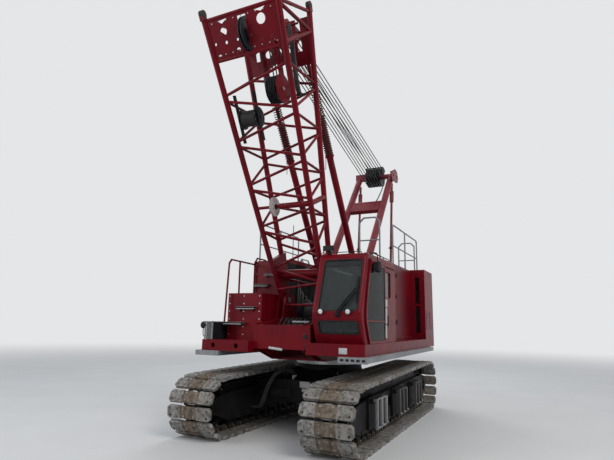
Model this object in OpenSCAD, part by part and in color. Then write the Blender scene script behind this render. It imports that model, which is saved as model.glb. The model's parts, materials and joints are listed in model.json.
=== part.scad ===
// Crawler crane with the foot section of its lattice boom, parked for transport.
// X points forward along the boom, Y to the left side, where the cab is, and Z up from the ground.
// The origin is on the ground under the middle of the whole crane. Millimetres.

/* [Tracks] */
// Distance between the centre lines of the two tracks, drawn in for transport
gauge = 2565; // [2500:5:2900]
// Width of a track shoe
shoe_w = 914; // [700:2:1000]
// Thickness of a track shoe
shoe_t = 62; // [40:1:80]
// Number of shoes in one track
shoe_count = 54; // [44:1:62]
// Gap between two shoes
shoe_gap = 26; // [10:1:40]
// Distance from the front wheel to the drive wheel, centre to centre
wheel_base = 5170; // [4600:10:5800]
// Radius of the track's chain over the front wheel
front_r = 478; // [420:1:520]
// Radius of the track's chain over the drive wheel
rear_r = 520; // [460:1:560]
// Depth of the chain inside the shoes
chain_t = 96; // [70:1:120]
// Width of the chain
chain_w = 300; // [240:2:360]
// Width of the side frame that carries the rollers
frame_w = 440; // [400:2:520]
// Number of lower rollers in one side frame
roller_count = 10; // [6:1:12]
// Radius of a lower roller
roller_r = 112; // [90:1:125]

/* [Carbody] */
// Half width of the carbody between the tracks
carbody_half_w = 796; // [700:1:810]
// Bottom of the carbody over the ground
carbody_z0 = 500; // [400:5:560]
// Height of the axle boxes
axle_box_h = 420; // [360:5:460]
// Distance of an axle box from the slew centre
axle_x = 1050; // [900:5:1300]
// Radius of the slew ring
slew_r = 700; // [560:5:780]
// Height of the slew ring's seat over the ground
slew_z = 1205; // [1150:5:1260]

/* [Upper frame] */
// Bottom of the rotating bed over the ground
bed_z0 = 1330; // [1300:5:1400]
// Height of the decks' top over the ground
deck_z = 1700; // [1650:5:1800]
// Thickness of the decks
deck_t = 200; // [120:5:260]
// Half width of the whole upper frame
upper_half_w = 1635; // [1500:5:1700]
// Front edge of the decks, ahead of the slew centre
deck_front = 2400; // [2200:10:2600]
// Rear edge of the houses, behind the slew centre
house_back = 3500; // [3200:10:3600]

/* [Cab] */
// Inner side of the cab
cab_y0 = 670; // [650:5:760]
// Rear wall of the cab, ahead of the slew centre
cab_back = 250; // [200:5:400]
// Height of the cab roof over the ground
cab_top = 3310; // [3200:5:3400]
// How far the windshield leans back from its foot to its head
shield_rake = 330; // [200:5:420]
// Thickness of the cab walls
cab_wall = 60; // [50:1:80]
// Thickness of window glass
glass_t = 8; // [6:1:12]

/* [Houses] */
// Outer side of the narrow part of the left house
house_y1 = 1270; // [1200:5:1400]
// Inner side of both houses
house_y0 = 690; // [660:5:740]
// Height of the house roofs over the ground
house_top = 3460; // [3350:5:3520]
// Front of the box with the tall air slot
intake_front = 2500; // [2400:10:2700]
// Thickness of the house panels
panel_t = 40; // [30:1:60]

/* [Boom] */
// Angle of the boom above level, as parked
boom_angle = 65.7; // [50:0.1:78]
// Foot pin of the boom ahead of the slew centre
foot_x = 1160; // [1000:5:1400]
// Foot pin of the boom over the ground
foot_z = 2516; // [2400:1:2600]
// Length from the foot pins to the pins at the far end
boom_len = 5640; // [5200:10:6000]
// Half width between chord centres at the foot pins
boom_w0 = 500; // [470:1:520]
// Half width between chord centres at the far end
boom_w1 = 754; // [650:1:850]
// Half depth between chord centres at the foot pins
boom_d0 = 155; // [120:1:200]
// Half depth between chord centres at the far end
boom_d1 = 663; // [560:1:720]
// Radius of a main chord
chord_r = 54; // [40:1:60]
// Radius of a lacing tube
lacing_r = 26; // [18:1:32]
// Distance along the boom from one lacing joint to the next
lacing_step = 425; // [380:1:460]
// Distance along the boom to the first lacing joint
lacing_start = 1180; // [1100:5:1300]
// Radius of the pins that join the next boom section
head_pin_r = 32; // [25:1:40]

/* [Gantry] */
// Head of the gantry behind the slew centre
gantry_back = 3560; // [3300:10:3600]
// Head of the gantry over the ground
gantry_top = 6500; // [6200:10:6700]
// Radius of the rope sheaves at the gantry head
gantry_sheave_r = 290; // [200:5:300]

/* [Hidden] */
$fn = 48;

paint = "firebrick";
dark = "dimgray";
black = "black";
metal = "silver";
fit = 0.3;
move_gap = 6;

// Places that follow from the driving dimensions
boom_c = cos(boom_angle);
boom_s = sin(boom_angle);
lug_r = 70;
front_reach = foot_x + boom_len * boom_c + boom_d1 * boom_s + lug_r;
rear_reach = gantry_back + gantry_sheave_r;
slew_x = -(front_reach - rear_reach) / 2;
track_y = gauge / 2;

// A flat shape drawn in X and Z, extruded from y0 to y1
module side_plate(points, y0, y1) {
    translate([0, y1, 0]) rotate([90, 0, 0]) linear_extrude(y1 - y0) polygon(points);
}
// A flat shape drawn in Y and Z, extruded from x0 to x1
module cross_plate(points, x0, x1) {
    translate([x0, 0, 0]) rotate([90, 0, 90]) linear_extrude(x1 - x0) polygon(points);
}
// Outline of a rectangle from corner a to corner b with round corners
function rounded(a, b, r) = [for (k = [[b[0] - r, b[1] - r, 0], [a[0] + r, b[1] - r, 90],
    [a[0] + r, a[1] + r, 180], [b[0] - r, a[1] + r, 270]]) for (t = [0 : 22.5 : 90])
    [k[0] + r * cos(k[2] + t), k[1] + r * sin(k[2] + t)]];
// A box between two opposite corners
module block(a, b) {
    translate(a) cube(b - a);
}
// A round bar from point p to point q, turned by spin about its own axis
module bar(p, q, r, spin = 0) {
    d = q - p;
    translate(p) rotate([0, acos(d[2] / norm(d)), atan2(d[1], d[0])]) rotate([0, 0, spin])
        cylinder(h = norm(d), r = r);
}
// A bent tube through a list of points
module tube_line(points, r) {
    last = len(points) - 1;
    for (i = [1 : last]) {
        d = (points[i] - points[i - 1]) / norm(points[i] - points[i - 1]);
        bar(points[i - 1] - (i > 1 ? 3 : 0) * d, points[i] + (i < last ? 3 : 0) * d, r - (i % 2) * 1.5);
    }
}
// A round bar along Y
module cross_bar(x, z, r, y0, y1) {
    translate([x, y0, z]) rotate([-90, 0, 0]) cylinder(h = y1 - y0, r = r);
}
// Everything is drawn about the slew centre and then moved to the crane's middle
module place() {
    translate([slew_x, 0, 0]) children();
}

// The track runs round two circles of different size that both stand on the ground run
front_x = wheel_base / 2 + 25;
rear_x = front_x - wheel_base;
tilt = asin((rear_r - front_r) / wheel_base);
run_len = wheel_base * cos(tilt);
front_arc = front_r * (180 - 2 * tilt) * PI / 180;
rear_arc = rear_r * (180 + 2 * tilt) * PI / 180;
loop_len = 2 * run_len + front_arc + rear_arc;
pitch = loop_len / shoe_count;
front_wheel_z = shoe_t + front_r;
rear_wheel_z = shoe_t + rear_r;

// Point on the chain's outer face at distance s along the loop, moved outwards by off
function loop_point(s, off) =
    let (a1 = run_len, a2 = a1 + front_arc, a3 = a2 + run_len, top = 90 - 2 * tilt)
    s < a1 ? [rear_x + s, shoe_t - off]
    : s < a2 ? let (a = -90 + (s - a1) / front_r * 180 / PI)
        [front_x + (front_r + off) * cos(a), front_wheel_z + (front_r + off) * sin(a)]
    : s < a3 ? let (t = (s - a2) / run_len)
        [front_x + (front_r + off) * cos(top), front_wheel_z + (front_r + off) * sin(top)] * (1 - t)
        + [rear_x + (rear_r + off) * cos(top), rear_wheel_z + (rear_r + off) * sin(top)] * t
    : let (a = top + (s - a3) / rear_r * 180 / PI)
        [rear_x + (rear_r + off) * cos(a), rear_wheel_z + (rear_r + off) * sin(a)];

function shoe_corners(i) =
    let (a = i * pitch + shoe_gap / 2, b = (i + 1) * pitch - shoe_gap / 2)
    [loop_point(a, 0), loop_point(a, shoe_t), loop_point(b, shoe_t), loop_point(b, 0)];
shoe_outline = [for (i = [0 : shoe_count - 1]) for (p = shoe_corners(i)) p];
function inner_outline(off) = [for (i = [0 : shoe_count - 1]) loop_point((i + 0.5) * pitch, -off)];

module track() {
    web_t = 14;
    translate([0, shoe_w / 2, 0]) rotate([90, 0, 0]) linear_extrude(shoe_w) difference() {
        polygon(shoe_outline);
        polygon(inner_outline(web_t));
    }
    translate([0, chain_w / 2, 0]) rotate([90, 0, 0]) linear_extrude(chain_w) difference() {
        polygon(inner_outline(web_t / 2));
        polygon(inner_outline(chain_t));
    }
}

// Side frame: a box with two side cheeks that hold the rollers' axles, and a fork at each end
cheek_t = 45;
cheek_y = frame_w / 2;
roller_z = shoe_t + chain_t + roller_r + fit;
roller_axle_r = 38;
roller_x0 = rear_x + rear_r + 80;
roller_step = (front_x - front_r - 60 - roller_x0) / (roller_count - 1);
frame_z0 = roller_z + roller_r + 30;
wheel_axle_r = 60;
carrier_r = 80;
carrier_x = [-1250, 0, 1250];
function top_inner_z(x) =
    let (t = (front_x - x) / wheel_base)
    (shoe_t + 2 * front_r) * (1 - t) + (shoe_t + 2 * rear_r) * t - chain_t - 4;
beam_h = axle_box_h - 70;
beam_z0 = carbody_z0 + 35;
beam_w = 330;
beam_in = track_y - 40;

module track_frame() {
    top_f = frame_z0 + 330;
    top_r = frame_z0 + 420;
    difference() {
        union() {
            side_plate([
                [front_x + 150, front_wheel_z - 130], [front_x + 150, front_wheel_z + 90],
                [front_x - 60, front_wheel_z + 150], [front_x - front_r - 60, top_f],
                [rear_x + rear_r, top_r], [rear_x + 60, rear_wheel_z + 190],
                [rear_x - 190, rear_wheel_z + 130], [rear_x - 190, rear_wheel_z - 150],
                [rear_x + 80, rear_wheel_z - 210], [rear_x + rear_r - 60, roller_z - 30],
                [front_x - front_r + 40, roller_z - 30], [front_x - 60, front_wheel_z - 170]
            ], -cheek_y, cheek_y);
            // Axle beams that slide in the carbody
            for (x = [-axle_x, axle_x]) {
                block([x - beam_w / 2, -beam_in, beam_z0], [x + beam_w / 2, 1 - cheek_y, beam_z0 + beam_h]);
            }
            for (x = carrier_x) {
                for (y = [-1, 1]) {
                    block([x - 60, y * 120 - 25, frame_z0 + 200],
                        [x + 60, y * 120 + 25, top_inner_z(x) - carrier_r + 40]);
                }
            }
        }
        // Channel for the rollers and forks for the two end wheels
        block([rear_x + rear_r - 200, cheek_t - cheek_y, 0],
            [front_x - front_r + 200, cheek_y - cheek_t, frame_z0]);
        block([front_x - front_r - 20, cheek_t - cheek_y, 0],
            [front_x + 400, cheek_y - cheek_t, front_wheel_z + 400]);
        block([rear_x - 400, cheek_t - cheek_y, 0],
            [rear_x + rear_r + 20, cheek_y - cheek_t, rear_wheel_z + 400]);
        for (i = [0 : roller_count - 1]) {
            cross_bar(roller_x0 + i * roller_step, roller_z, roller_axle_r + fit, -frame_w, frame_w);
        }
        cross_bar(front_x, front_wheel_z, wheel_axle_r + fit, -frame_w, frame_w);
        cross_bar(rear_x, rear_wheel_z, wheel_axle_r + 40 + fit, -frame_w, frame_w);
        for (x = carrier_x) {
            cross_bar(x, top_inner_z(x) - carrier_r, 22 + fit, -200, 200);
        }
        // Lightening pockets in the outer side of the box
        for (x = [-1500, -500, 500, 1500]) {
            side_plate([
                [x - 330, frame_z0 + 70], [x + 330, frame_z0 + 70],
                [x + 290, frame_z0 + 250], [x - 290, frame_z0 + 250]
            ], cheek_y - 30, cheek_y + 1);
        }
    }
}
module track_rollers() {
    axle_half = cheek_y + 12;
    for (i = [0 : roller_count - 1]) {
        x = roller_x0 + i * roller_step;
        cross_bar(x, roller_z, roller_axle_r, -axle_half, axle_half);
        cross_bar(x, roller_z, roller_r, -150, 150);
    }
    for (x = carrier_x) {
        cross_bar(x, top_inner_z(x) - carrier_r, 22, -160, 160);
        cross_bar(x, top_inner_z(x) - carrier_r, carrier_r - fit, -90, 90);
    }
}
// Radius of the largest wheel that fits inside the chain's flat links
function wheel_r(r) = (r - chain_t) * cos(pitch / r * 90 / PI) - fit;
module idler() {
    r = wheel_r(front_r);
    difference() {
        union() {
            cross_bar(front_x, front_wheel_z, r, -110, 110);
            cross_bar(front_x, front_wheel_z, 130, -170, 170);
        }
        for (y = [-111, 41]) {
            difference() {
                cross_bar(front_x, front_wheel_z, r - 70, y, y + 70);
                cross_bar(front_x, front_wheel_z, 160, y - 1, y + 71);
            }
        }
    }
    cross_bar(front_x, front_wheel_z, wheel_axle_r, -cheek_y - 15, cheek_y + 15);
}
module sprocket() {
    r = wheel_r(rear_r);
    teeth = 11;
    translate([rear_x, 90, rear_wheel_z]) rotate([90, 0, 0]) linear_extrude(180)
        polygon([for (i = [0 : teeth - 1]) for (k = [[0, 0.86], [0.2, 1], [0.5, 1], [0.7, 0.86]])
            let (a = (i + k[0]) * 360 / teeth) r * k[1] * [cos(a), sin(a)]]);
    cross_bar(rear_x, rear_wheel_z, 250, -165, 165);
    cross_bar(rear_x, rear_wheel_z, wheel_axle_r + 40, -cheek_y - 60, cheek_y + 50);
}
module folding_steps() {
    step_out = shoe_w / 2 - 6;
    for (x = [-1700, -330, 1150]) {
        for (dx = [0, 660]) {
            cross_plate([[cheek_y + fit, 470], [cheek_y + 50, 470], [cheek_y + 50, 250], [step_out, 250],
                [step_out, 640], [cheek_y + 150, 800], [cheek_y + fit, 800]], x + dx, x + dx + 40);
        }
        block([x + 39, cheek_y + 60, 250], [x + 661, step_out - 1, 300]);
        block([x + 39, cheek_y + 60, 520], [x + 661, step_out - 1, 560]);
    }
}
module on_left() { place() translate([0, track_y, 0]) children(); }
module on_right() { place() mirror([0, 1, 0]) translate([0, track_y, 0]) children(); }

module left_track_frame() { color(dark) on_left() track_frame(); }
module left_track() { color("darkkhaki") on_left() track(); }
module left_idler() { color(dark) on_left() idler(); }
module left_sprocket() { color(dark) on_left() sprocket(); }
module left_rollers() { color(dark) on_left() track_rollers(); }
module left_steps() { color(metal) on_left() folding_steps(); }
module right_track_frame() { color(dark) on_right() track_frame(); }
module right_track() { color("darkkhaki") on_right() track(); }
module right_idler() { color(dark) on_right() idler(); }
module right_sprocket() { color(dark) on_right() sprocket(); }
module right_rollers() { color(dark) on_right() track_rollers(); }
module right_steps() { color(metal) on_right() folding_steps(); }

// Carbody: two hollow axle boxes joined by a centre box that carries the slew ring
axle_box_half = beam_w / 2 + 35;
module carbody() {
    box_w = axle_box_half;
    color(black) place() difference() {
        union() {
            for (x = [-axle_x, axle_x]) {
                block([x - box_w, -carbody_half_w, carbody_z0],
                    [x + box_w, carbody_half_w, carbody_z0 + axle_box_h]);
            }
            block([-axle_x, -620, carbody_z0 + 20], [axle_x, 620, carbody_z0 + axle_box_h - 20]);
            translate([0, 0, carbody_z0 + axle_box_h - 30])
                cylinder(h = slew_z - carbody_z0 - axle_box_h + 30, r1 = slew_r + 60, r2 = slew_r + 20);
            for (x = [-1, 1]) {
                side_plate([[x * axle_x, carbody_z0 + axle_box_h - 1],
                    [x * (axle_x - 420), carbody_z0 + axle_box_h - 1], [x * (axle_x - 420), slew_z - 60]],
                    -500, 500);
            }
        }
        for (x = [-axle_x, axle_x]) {
            block([x - beam_w / 2 - fit, -carbody_half_w - 1, beam_z0 - fit],
                [x + beam_w / 2 + fit, carbody_half_w + 1, beam_z0 + beam_h + fit]);
        }
        translate([0, 0, carbody_z0 - 1]) cylinder(h = 900, r = 260);
    }
}
module slew_ring() {
    color(metal) place() translate([0, 0, slew_z + fit]) difference() {
        cylinder(h = bed_z0 - slew_z - 2 * fit, r = slew_r);
        translate([0, 0, -1]) cylinder(h = 300, r = slew_r - 130);
    }
}
module carbody_hoses() {
    r = 15;
    x = axle_x + axle_box_half + r + fit;
    color(black) place() for (k = [0 : 3]) {
        bar([x, -carbody_half_w + 90, 620 + k * 34], [x, -250, 620 + k * 34], r);
    }
}

// Rotating bed: two pairs of side plates that rise to horns round the boom's foot
horn_r = 165;
leg_t = 90;
plate_t = 40;
inner_plate_y = boom_w0 - leg_t / 2 - move_gap - plate_t;
outer_plate_y = boom_w0 + leg_t / 2 + move_gap;
foot_pin_r = 55;
bed_top = 1960;
gantry_foot_x = -60;
gantry_foot_z = 2080;
link_foot_x = -3180;
link_foot_z = 2080;
gantry_pin_r = 42;
drum_z = 2230;
drum_x = [330, -950, -2150];
module bed_side(y0, y1) {
    difference() {
        union() {
            side_plate([
                [deck_front - 180, bed_z0 + 230], [deck_front - 180, 2020], [foot_x + 260, 2130],
                [foot_x + horn_r, foot_z], [foot_x - horn_r, foot_z], [foot_x - 420, 2180],
                [gantry_foot_x + 160, bed_top + 120], [gantry_foot_x - 160, bed_top + 120],
                [gantry_foot_x - 300, bed_top], [link_foot_x + 320, bed_top], [link_foot_x + 100, 2080],
                [link_foot_x - 100, 2080], [-house_back + 60, bed_top - 60], [-house_back + 60, 1600],
                [-2500, bed_z0], [1500, bed_z0]
            ], y0, y1);
            cross_bar(foot_x, foot_z, horn_r, y0, y1);
            cross_bar(gantry_foot_x, gantry_foot_z, 120, y0, y1);
            cross_bar(link_foot_x, link_foot_z, 110, y0, y1);
        }
        cross_bar(foot_x, foot_z, foot_pin_r + fit, y0 - 1, y1 + 1);
        cross_bar(gantry_foot_x, gantry_foot_z, gantry_pin_r + fit, y0 - 1, y1 + 1);
        cross_bar(link_foot_x, link_foot_z, gantry_pin_r + fit, y0 - 1, y1 + 1);
        for (x = drum_x) {
            cross_bar(x, drum_z, 90 + fit, y0 - 1, y1 + 1);
        }
    }
}
module rotating_bed() {
    color(paint) place() {
        difference() {
            union() {
                for (side = [0, 1]) {
                    mirror([0, side, 0]) {
                        bed_side(inner_plate_y, inner_plate_y + plate_t);
                        bed_side(outer_plate_y, outer_plate_y + plate_t);
                        // Drum bearings stand on the inner plates
                        for (x = drum_x) {
                            side_plate([[x - 260, bed_top - 20], [x + 260, bed_top - 20],
                                [x + 130, drum_z + 130], [x - 130, drum_z + 130]],
                                inner_plate_y, inner_plate_y + plate_t);
                        }
                    }
                }
                block([-house_back + 60, -outer_plate_y - 10, 1600],
                    [-house_back + 110, outer_plate_y + 10, bed_top - 60]);
                block([-2500, -outer_plate_y - 10, bed_z0 + 1], [1500, outer_plate_y + 10, bed_z0 + 40]);
                block([deck_front - 220, -outer_plate_y - 10, bed_z0 + 235],
                    [deck_front - 180, outer_plate_y + 10, 2000]);
            }
            for (side = [-1, 1]) {
                for (x = drum_x) {
                    cross_bar(x, drum_z, 90 + fit, side * 500 - 250, side * 500 + 250);
                }
            }
            translate([0, 0, bed_z0 - 1]) cylinder(h = 50, r = 240);
        }
    }
}
module boom_foot_pins() {
    color(metal) place() for (side = [-1, 1]) {
        cross_bar(foot_x, foot_z, foot_pin_r, side * boom_w0 - 105, side * boom_w0 + 105);
    }
}

// Decks beside the bed
deck_y0 = outer_plate_y + plate_t + fit;
module left_deck() {
    corner = 100;
    color(paint) place() difference() {
        translate([0, 0, deck_z - deck_t]) linear_extrude(deck_t) polygon([
            [-house_back, deck_y0], [deck_front, deck_y0], [deck_front, upper_half_w - corner],
            [deck_front - corner, upper_half_w], [-house_back, upper_half_w]
        ]);
        block([-house_back + 60, deck_y0 + 80, deck_z - deck_t - 1],
            [-300, upper_half_w - 60, deck_z - 25]);
        block([-200, deck_y0 + 80, deck_z - deck_t - 1],
            [deck_front - 110, upper_half_w - 60, deck_z - 25]);
    }
}
module right_deck() {
    color(paint) place() mirror([0, 1, 0]) difference() {
        block([-house_back, deck_y0, deck_z - deck_t], [deck_front, upper_half_w, deck_z]);
        block([-house_back + 60, deck_y0 + 80, deck_z - deck_t - 1],
            [-300, upper_half_w - 60, deck_z - 25]);
        block([-200, deck_y0 + 80, deck_z - deck_t - 1],
            [deck_front - 60, upper_half_w - 60, deck_z - 25]);
        for (y = [860, 1380]) {
            translate([deck_front - 70, y, deck_z - deck_t / 2]) rotate([0, 90, 0]) cylinder(h = 80, r = 48);
        }
    }
}
module catwalk() {
    outer = track_y + shoe_w / 2 - 4;
    z = deck_z - deck_t - fit;
    difference() {
        block([-2900, upper_half_w - 420, z - 90], [deck_front + 60, outer, z]);
        block([-2870, upper_half_w - 390, z - 91], [deck_front + 30, outer - 30, z - 25]);
    }
}
module left_catwalk() { color(metal) place() catwalk(); }
module right_catwalk() { color(metal) place() mirror([0, 1, 0]) catwalk(); }

// Cab: the front leans out from its foot to a sill and back from there to the roof
cab_front = deck_front - 15;
cab_floor = deck_z + fit;
sill_z = deck_z + 420;
shield_z0 = deck_z + 535;
shield_z1 = cab_top - 95;
front_line = [
    [cab_front - 195, cab_floor], [cab_front - 10, sill_z], [cab_front, shield_z0],
    [cab_front - shield_rake, shield_z1]
];
cab_y1 = upper_half_w - 40;
cab_corner_r = 60;
// A long slab whose round front edges lean as the line from p to q does
module leaning_slab(p, q) {
    lean = atan2(q[0] - p[0], q[1] - p[1]);
    rx = cab_corner_r * cos(lean);
    back = 3000;
    out = (back - rx) * cab_corner_r / rx * tan(7.5);
    translate([p[0], 0, p[1]]) rotate([0, lean, 0]) translate([0, 0, -1500])
        linear_extrude(norm(q - p) + 3500) polygon(concat(
            [[-back, cab_y0 - out], [-back, cab_y1 + out]],
            [for (t = [75 : -15 : 0]) [rx * (cos(t) - 1), cab_y1 + cab_corner_r * (sin(t) - 1)]],
            [for (t = [0 : 15 : 75]) [rx * (cos(t) - 1), cab_y0 - cab_corner_r * (sin(t) - 1)]]
        ));
}
module cab_outside() {
    f = front_line;
    roof = [cab_front - shield_rake - 75, cab_top - 15];
    ahead = f[3] + 0.6 * (f[3] - roof);
    intersection() {
        leaning_slab(f[0], f[1]);
        leaning_slab(f[1], f[2]);
        leaning_slab(f[2], f[3]);
        side_plate([
            [cab_back, cab_floor], [cab_front + 50, cab_floor], [cab_front + 50, ahead[1]], ahead, roof,
            roof + [-160, 30], [cab_back + 100, cab_top + 40], [cab_back, cab_top - 60]
        ], cab_y0 - 60, cab_y1 + 60);
        cross_plate(concat([[cab_y1, cab_floor - 60]],
            [for (t = [0 : 22.5 : 90]) [cab_y1 - 45 + 45 * cos(t), cab_top - 45 + 45 * sin(t)]],
            [for (t = [90 : 22.5 : 180]) [cab_y0 + 45 + 45 * cos(t), cab_top - 45 + 45 * sin(t)]],
            [[cab_y0, cab_floor - 60]]), cab_back - 60, cab_front + 90);
    }
}
module cab_inside() {
    w = cab_wall;
    side_plate([
        [cab_back + w, cab_floor + w], [front_line[0][0] - 40, cab_floor + w],
        [front_line[1][0] - 66, sill_z],
        [cab_front - 66, shield_z0], [cab_front - shield_rake - 52, shield_z1 - 30],
        [cab_front - shield_rake - 116, cab_top - w], [cab_back + w, cab_top - w]
    ], cab_y0 + w, cab_y1 - w);
}
// Turns a flat frame drawn in Y and Z to the windshield's plane or to the lower front plane
lean = atan2(shield_rake, shield_z1 - shield_z0);
low_lean = atan2(front_line[1][0] - front_line[0][0], sill_z - cab_floor);
shield_len = norm(front_line[3] - front_line[2]);
module in_shield_plane() {
    translate([cab_front, 0, shield_z0]) rotate([0, -lean, 0]) children();
}
module in_low_plane() {
    translate([front_line[0][0], 0, cab_floor]) rotate([0, low_lean, 0]) children();
}
front_y0 = cab_y0 + 130;
front_y1 = cab_y1 - cab_wall - 3;
module shield_shape(grow, x0, x1) {
    cross_plate(rounded([front_y0 - grow, 22 - grow], [front_y1 + grow, shield_len - 38 + grow], 60),
        x0, x1);
}
module lower_window_shape(grow, x0, x1) {
    cross_plate(rounded([front_y0 - 10 - grow, 180 - grow], [front_y1 + grow, 421 + grow], 50), x0, x1);
}

// Sliding door: its front edge follows the leaning front
door_x0 = cab_front - 1310;
door_z0 = deck_z + 48;
door_z1 = cab_top - 200;
door_front = [
    [-440, door_z0], [-345, deck_z + 190], [-251, deck_z + 400], [-251, deck_z + 560],
    [-323, shield_z1 - 625], [-429, shield_z1 - 320], [-510, door_z1]
];
door_top_x1 = cab_front - 510;
// Outline of the door's glass, grown by d for the doorway and the frame
function doorway(d) = concat([[door_x0 - d, door_z0 - d]],
    [for (i = [0 : 6])
        [cab_front + door_front[i][0] + d, door_front[i][1] + (i == 0 ? -d : i == 6 ? d : 0)]],
    [[door_x0 - d, door_z1 + d]]);
function quarter_window(d) = rounded([cab_back + 320 - d, deck_z + 860 - d],
    [door_x0 - 75 + d, door_z1 - 40 + d], 40);
function inner_window(d) = [
    [cab_back + 90 - d, deck_z + 580 - d], [cab_front - 485 + d, deck_z + 580 - d],
    [cab_front - 635 + d, cab_top - 210 + d], [cab_back + 90 - d, cab_top - 210 + d]];
module cab_shell() {
    color(paint) place() difference() {
        cab_outside();
        cab_inside();
        in_shield_plane() shield_shape(0, -200, 50);
        in_low_plane() lower_window_shape(0, -150, 50);
        side_plate(doorway(20), cab_y1 - cab_wall - 1, cab_y1 + 1);
        side_plate(quarter_window(0), cab_y1 - cab_wall - 1, cab_y1 + 1);
        side_plate(inner_window(0), cab_y0 - 1, cab_y0 + cab_wall + 1);
        block([cab_back - 1, cab_y0 + 120, deck_z + 600],
            [cab_back + cab_wall + 1, cab_y1 - 120, cab_top - 220]);
    }
    // Rail of the sliding door
    color(dark) place() block([cab_back + 10, cab_y1 - 5, rail_z],
        [door_top_x1 + 40, door_y0 + door_t, rail_z + 40]);
}
module front_windows() {
    color("darkslategray") place() {
        in_shield_plane() shield_shape(-fit, -18 - glass_t, -18);
        in_low_plane() lower_window_shape(-fit, -20 - glass_t, -20);
    }
}
module cab_side_windows() {
    color("darkslategray") place() {
        side_plate(quarter_window(-fit), cab_y1 - 35, cab_y1 - 35 + glass_t);
        side_plate(inner_window(-2 * fit), cab_y0 + 25, cab_y0 + 25 + glass_t);
        block([cab_back + 25, cab_y0 + 120 + fit, deck_z + 600 + fit],
            [cab_back + 25 + glass_t, cab_y1 - 120 - fit, cab_top - 220 - fit]);
    }
}
module operator_seat() {
    floor_z = cab_floor + cab_wall + fit;
    seat_top = cab_top - 400;
    mid = (cab_y0 + cab_y1) / 2;
    color(black) place() {
        block([850, mid - 180, floor_z], [1250, mid + 180, floor_z + 320]);
        block([800, mid - 260, floor_z + 320], [1320, mid + 260, floor_z + 460]);
        side_plate([[800, floor_z + 440], [930, floor_z + 440], [830, seat_top], [710, seat_top]],
            mid - 250, mid + 250);
    }
}
// Mirror and work lamp on the cab roof
module cab_mirrors() {
    mirror_y = cab_y1 + 92;
    color(black) place() {
        block([1690, mirror_y - 47, cab_top - 340], [1760, mirror_y + 47, cab_top - 140]);
        bar([1725, mirror_y, cab_top - 141], [1725, mirror_y, cab_top + 30], 12);
        bar([1725, mirror_y, cab_top + 18], [1725, cab_y1 - 120, cab_top + 18], 12);
        block([1700, cab_y1 - 160, cab_top + fit], [1750, cab_y1 - 110, cab_top + 31]);
        block([cab_front - 435, cab_y0 + 60, cab_top + 50], [cab_front - 355, cab_y0 + 260, cab_top + 150]);
        block([cab_front - 505, cab_y0 + 130, cab_top + fit], [cab_front - 425, cab_y0 + 190, cab_top + 60]);
    }
}
// The door hangs outside the wall and slides back along a rail above the rear window
door_grow = 42;
door_y0 = cab_y1 + move_gap;
door_t = 26;
door_bar_z = deck_z + 384;
rail_z = door_z1 + door_grow + 12;
module cab_door() {
    color(paint) place() {
        difference() {
            side_plate(doorway(door_grow), door_y0, door_y0 + door_t);
            side_plate(doorway(0), door_y0 - 1, door_y0 + door_t + 1);
        }
        block([door_x0 - 5, door_y0 + 1, door_bar_z],
            [cab_front - 250, door_y0 + door_t - 1, door_bar_z + 25]);
        // Hangers that run under the rail
        for (x = [door_x0 + 60, door_top_x1 - 160]) {
            block([x, door_y0, door_z1 + 1], [x + 90, door_y0 + door_t, rail_z - fit]);
        }
    }
}
module cab_door_glass() {
    color("darkslategray") place() difference() {
        side_plate(doorway(-fit), door_y0 + 8, door_y0 + 8 + glass_t);
        block([door_x0 - 1, door_y0, door_bar_z - fit],
            [cab_front, door_y0 + door_t, door_bar_z + 25 + fit]);
    }
}

// Houses
module left_house() {
    color(paint) place()
        block([-intake_front + fit, house_y0, deck_z + fit], [cab_back - 40, house_y1, house_top]);
}
module intake_housing() {
    color(paint) place() difference() {
        block([-house_back, house_y0, deck_z + fit], [-intake_front, upper_half_w, house_top + 20]);
        for (z = [deck_z + 150, deck_z + 900]) {
            block([-intake_front - 120, house_y1 + 120, z], [-intake_front + 1, house_y1 + 230, z + 680]);
        }
    }
}
hinge_r = 14;
engine_door_x = [-2300, -900];
engine_hinge_z = [deck_z + 350, house_top - 510];
engine_hinge_y = -upper_half_w - 22;
module house_door_holes(grow) {
    for (x = engine_door_x) {
        block([x + grow, -upper_half_w - 1, deck_z + 200 + grow],
            [x + 1300 - grow, -upper_half_w + panel_t + 1, house_top - 260 - grow]);
    }
}
right_house_front = 500;
module right_house() {
    color(paint) place() difference() {
        block([-house_back, -upper_half_w, deck_z + fit], [right_house_front, -house_y0, house_top]);
        block([-house_back + panel_t, -upper_half_w + panel_t, deck_z + panel_t],
            [right_house_front - panel_t, -house_y0 - panel_t, house_top - panel_t]);
        house_door_holes(0);
    }
    color(dark) place() for (x = engine_door_x) {
        for (z = engine_hinge_z) {
            translate([x, engine_hinge_y, z - 60]) cylinder(h = 60 - fit, r = hinge_r);
            translate([x, engine_hinge_y, z - 60]) cylinder(h = 150, r = 6);
            block([x - 50, engine_hinge_y - 5, z - 60], [x, -upper_half_w + 2, z - fit]);
        }
    }
}
module engine_block() {
    color(dark) place()
        block([-2200, -1450, deck_z + panel_t + fit], [-700, -850, deck_z + 1050]);
}
module engine_door(x) {
    y = -upper_half_w;
    color(paint) place() difference() {
        union() {
            block([x + move_gap, y, deck_z + 200 + move_gap],
                [x + 1300 - move_gap, y + panel_t - 5, house_top - 260 - move_gap]);
            for (z = engine_hinge_z) {
                translate([x, engine_hinge_y, z]) cylinder(h = 90, r = hinge_r);
                block([x + 9, engine_hinge_y - 5, z], [x + 60, y + 2, z + 90]);
            }
        }
        for (z = engine_hinge_z) {
            translate([x, engine_hinge_y, z - 1]) cylinder(h = 100, r = 6 + fit);
        }
    }
}
module front_engine_door() { engine_door(engine_door_x[1]); }
module rear_engine_door() { engine_door(engine_door_x[0]); }

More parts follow.
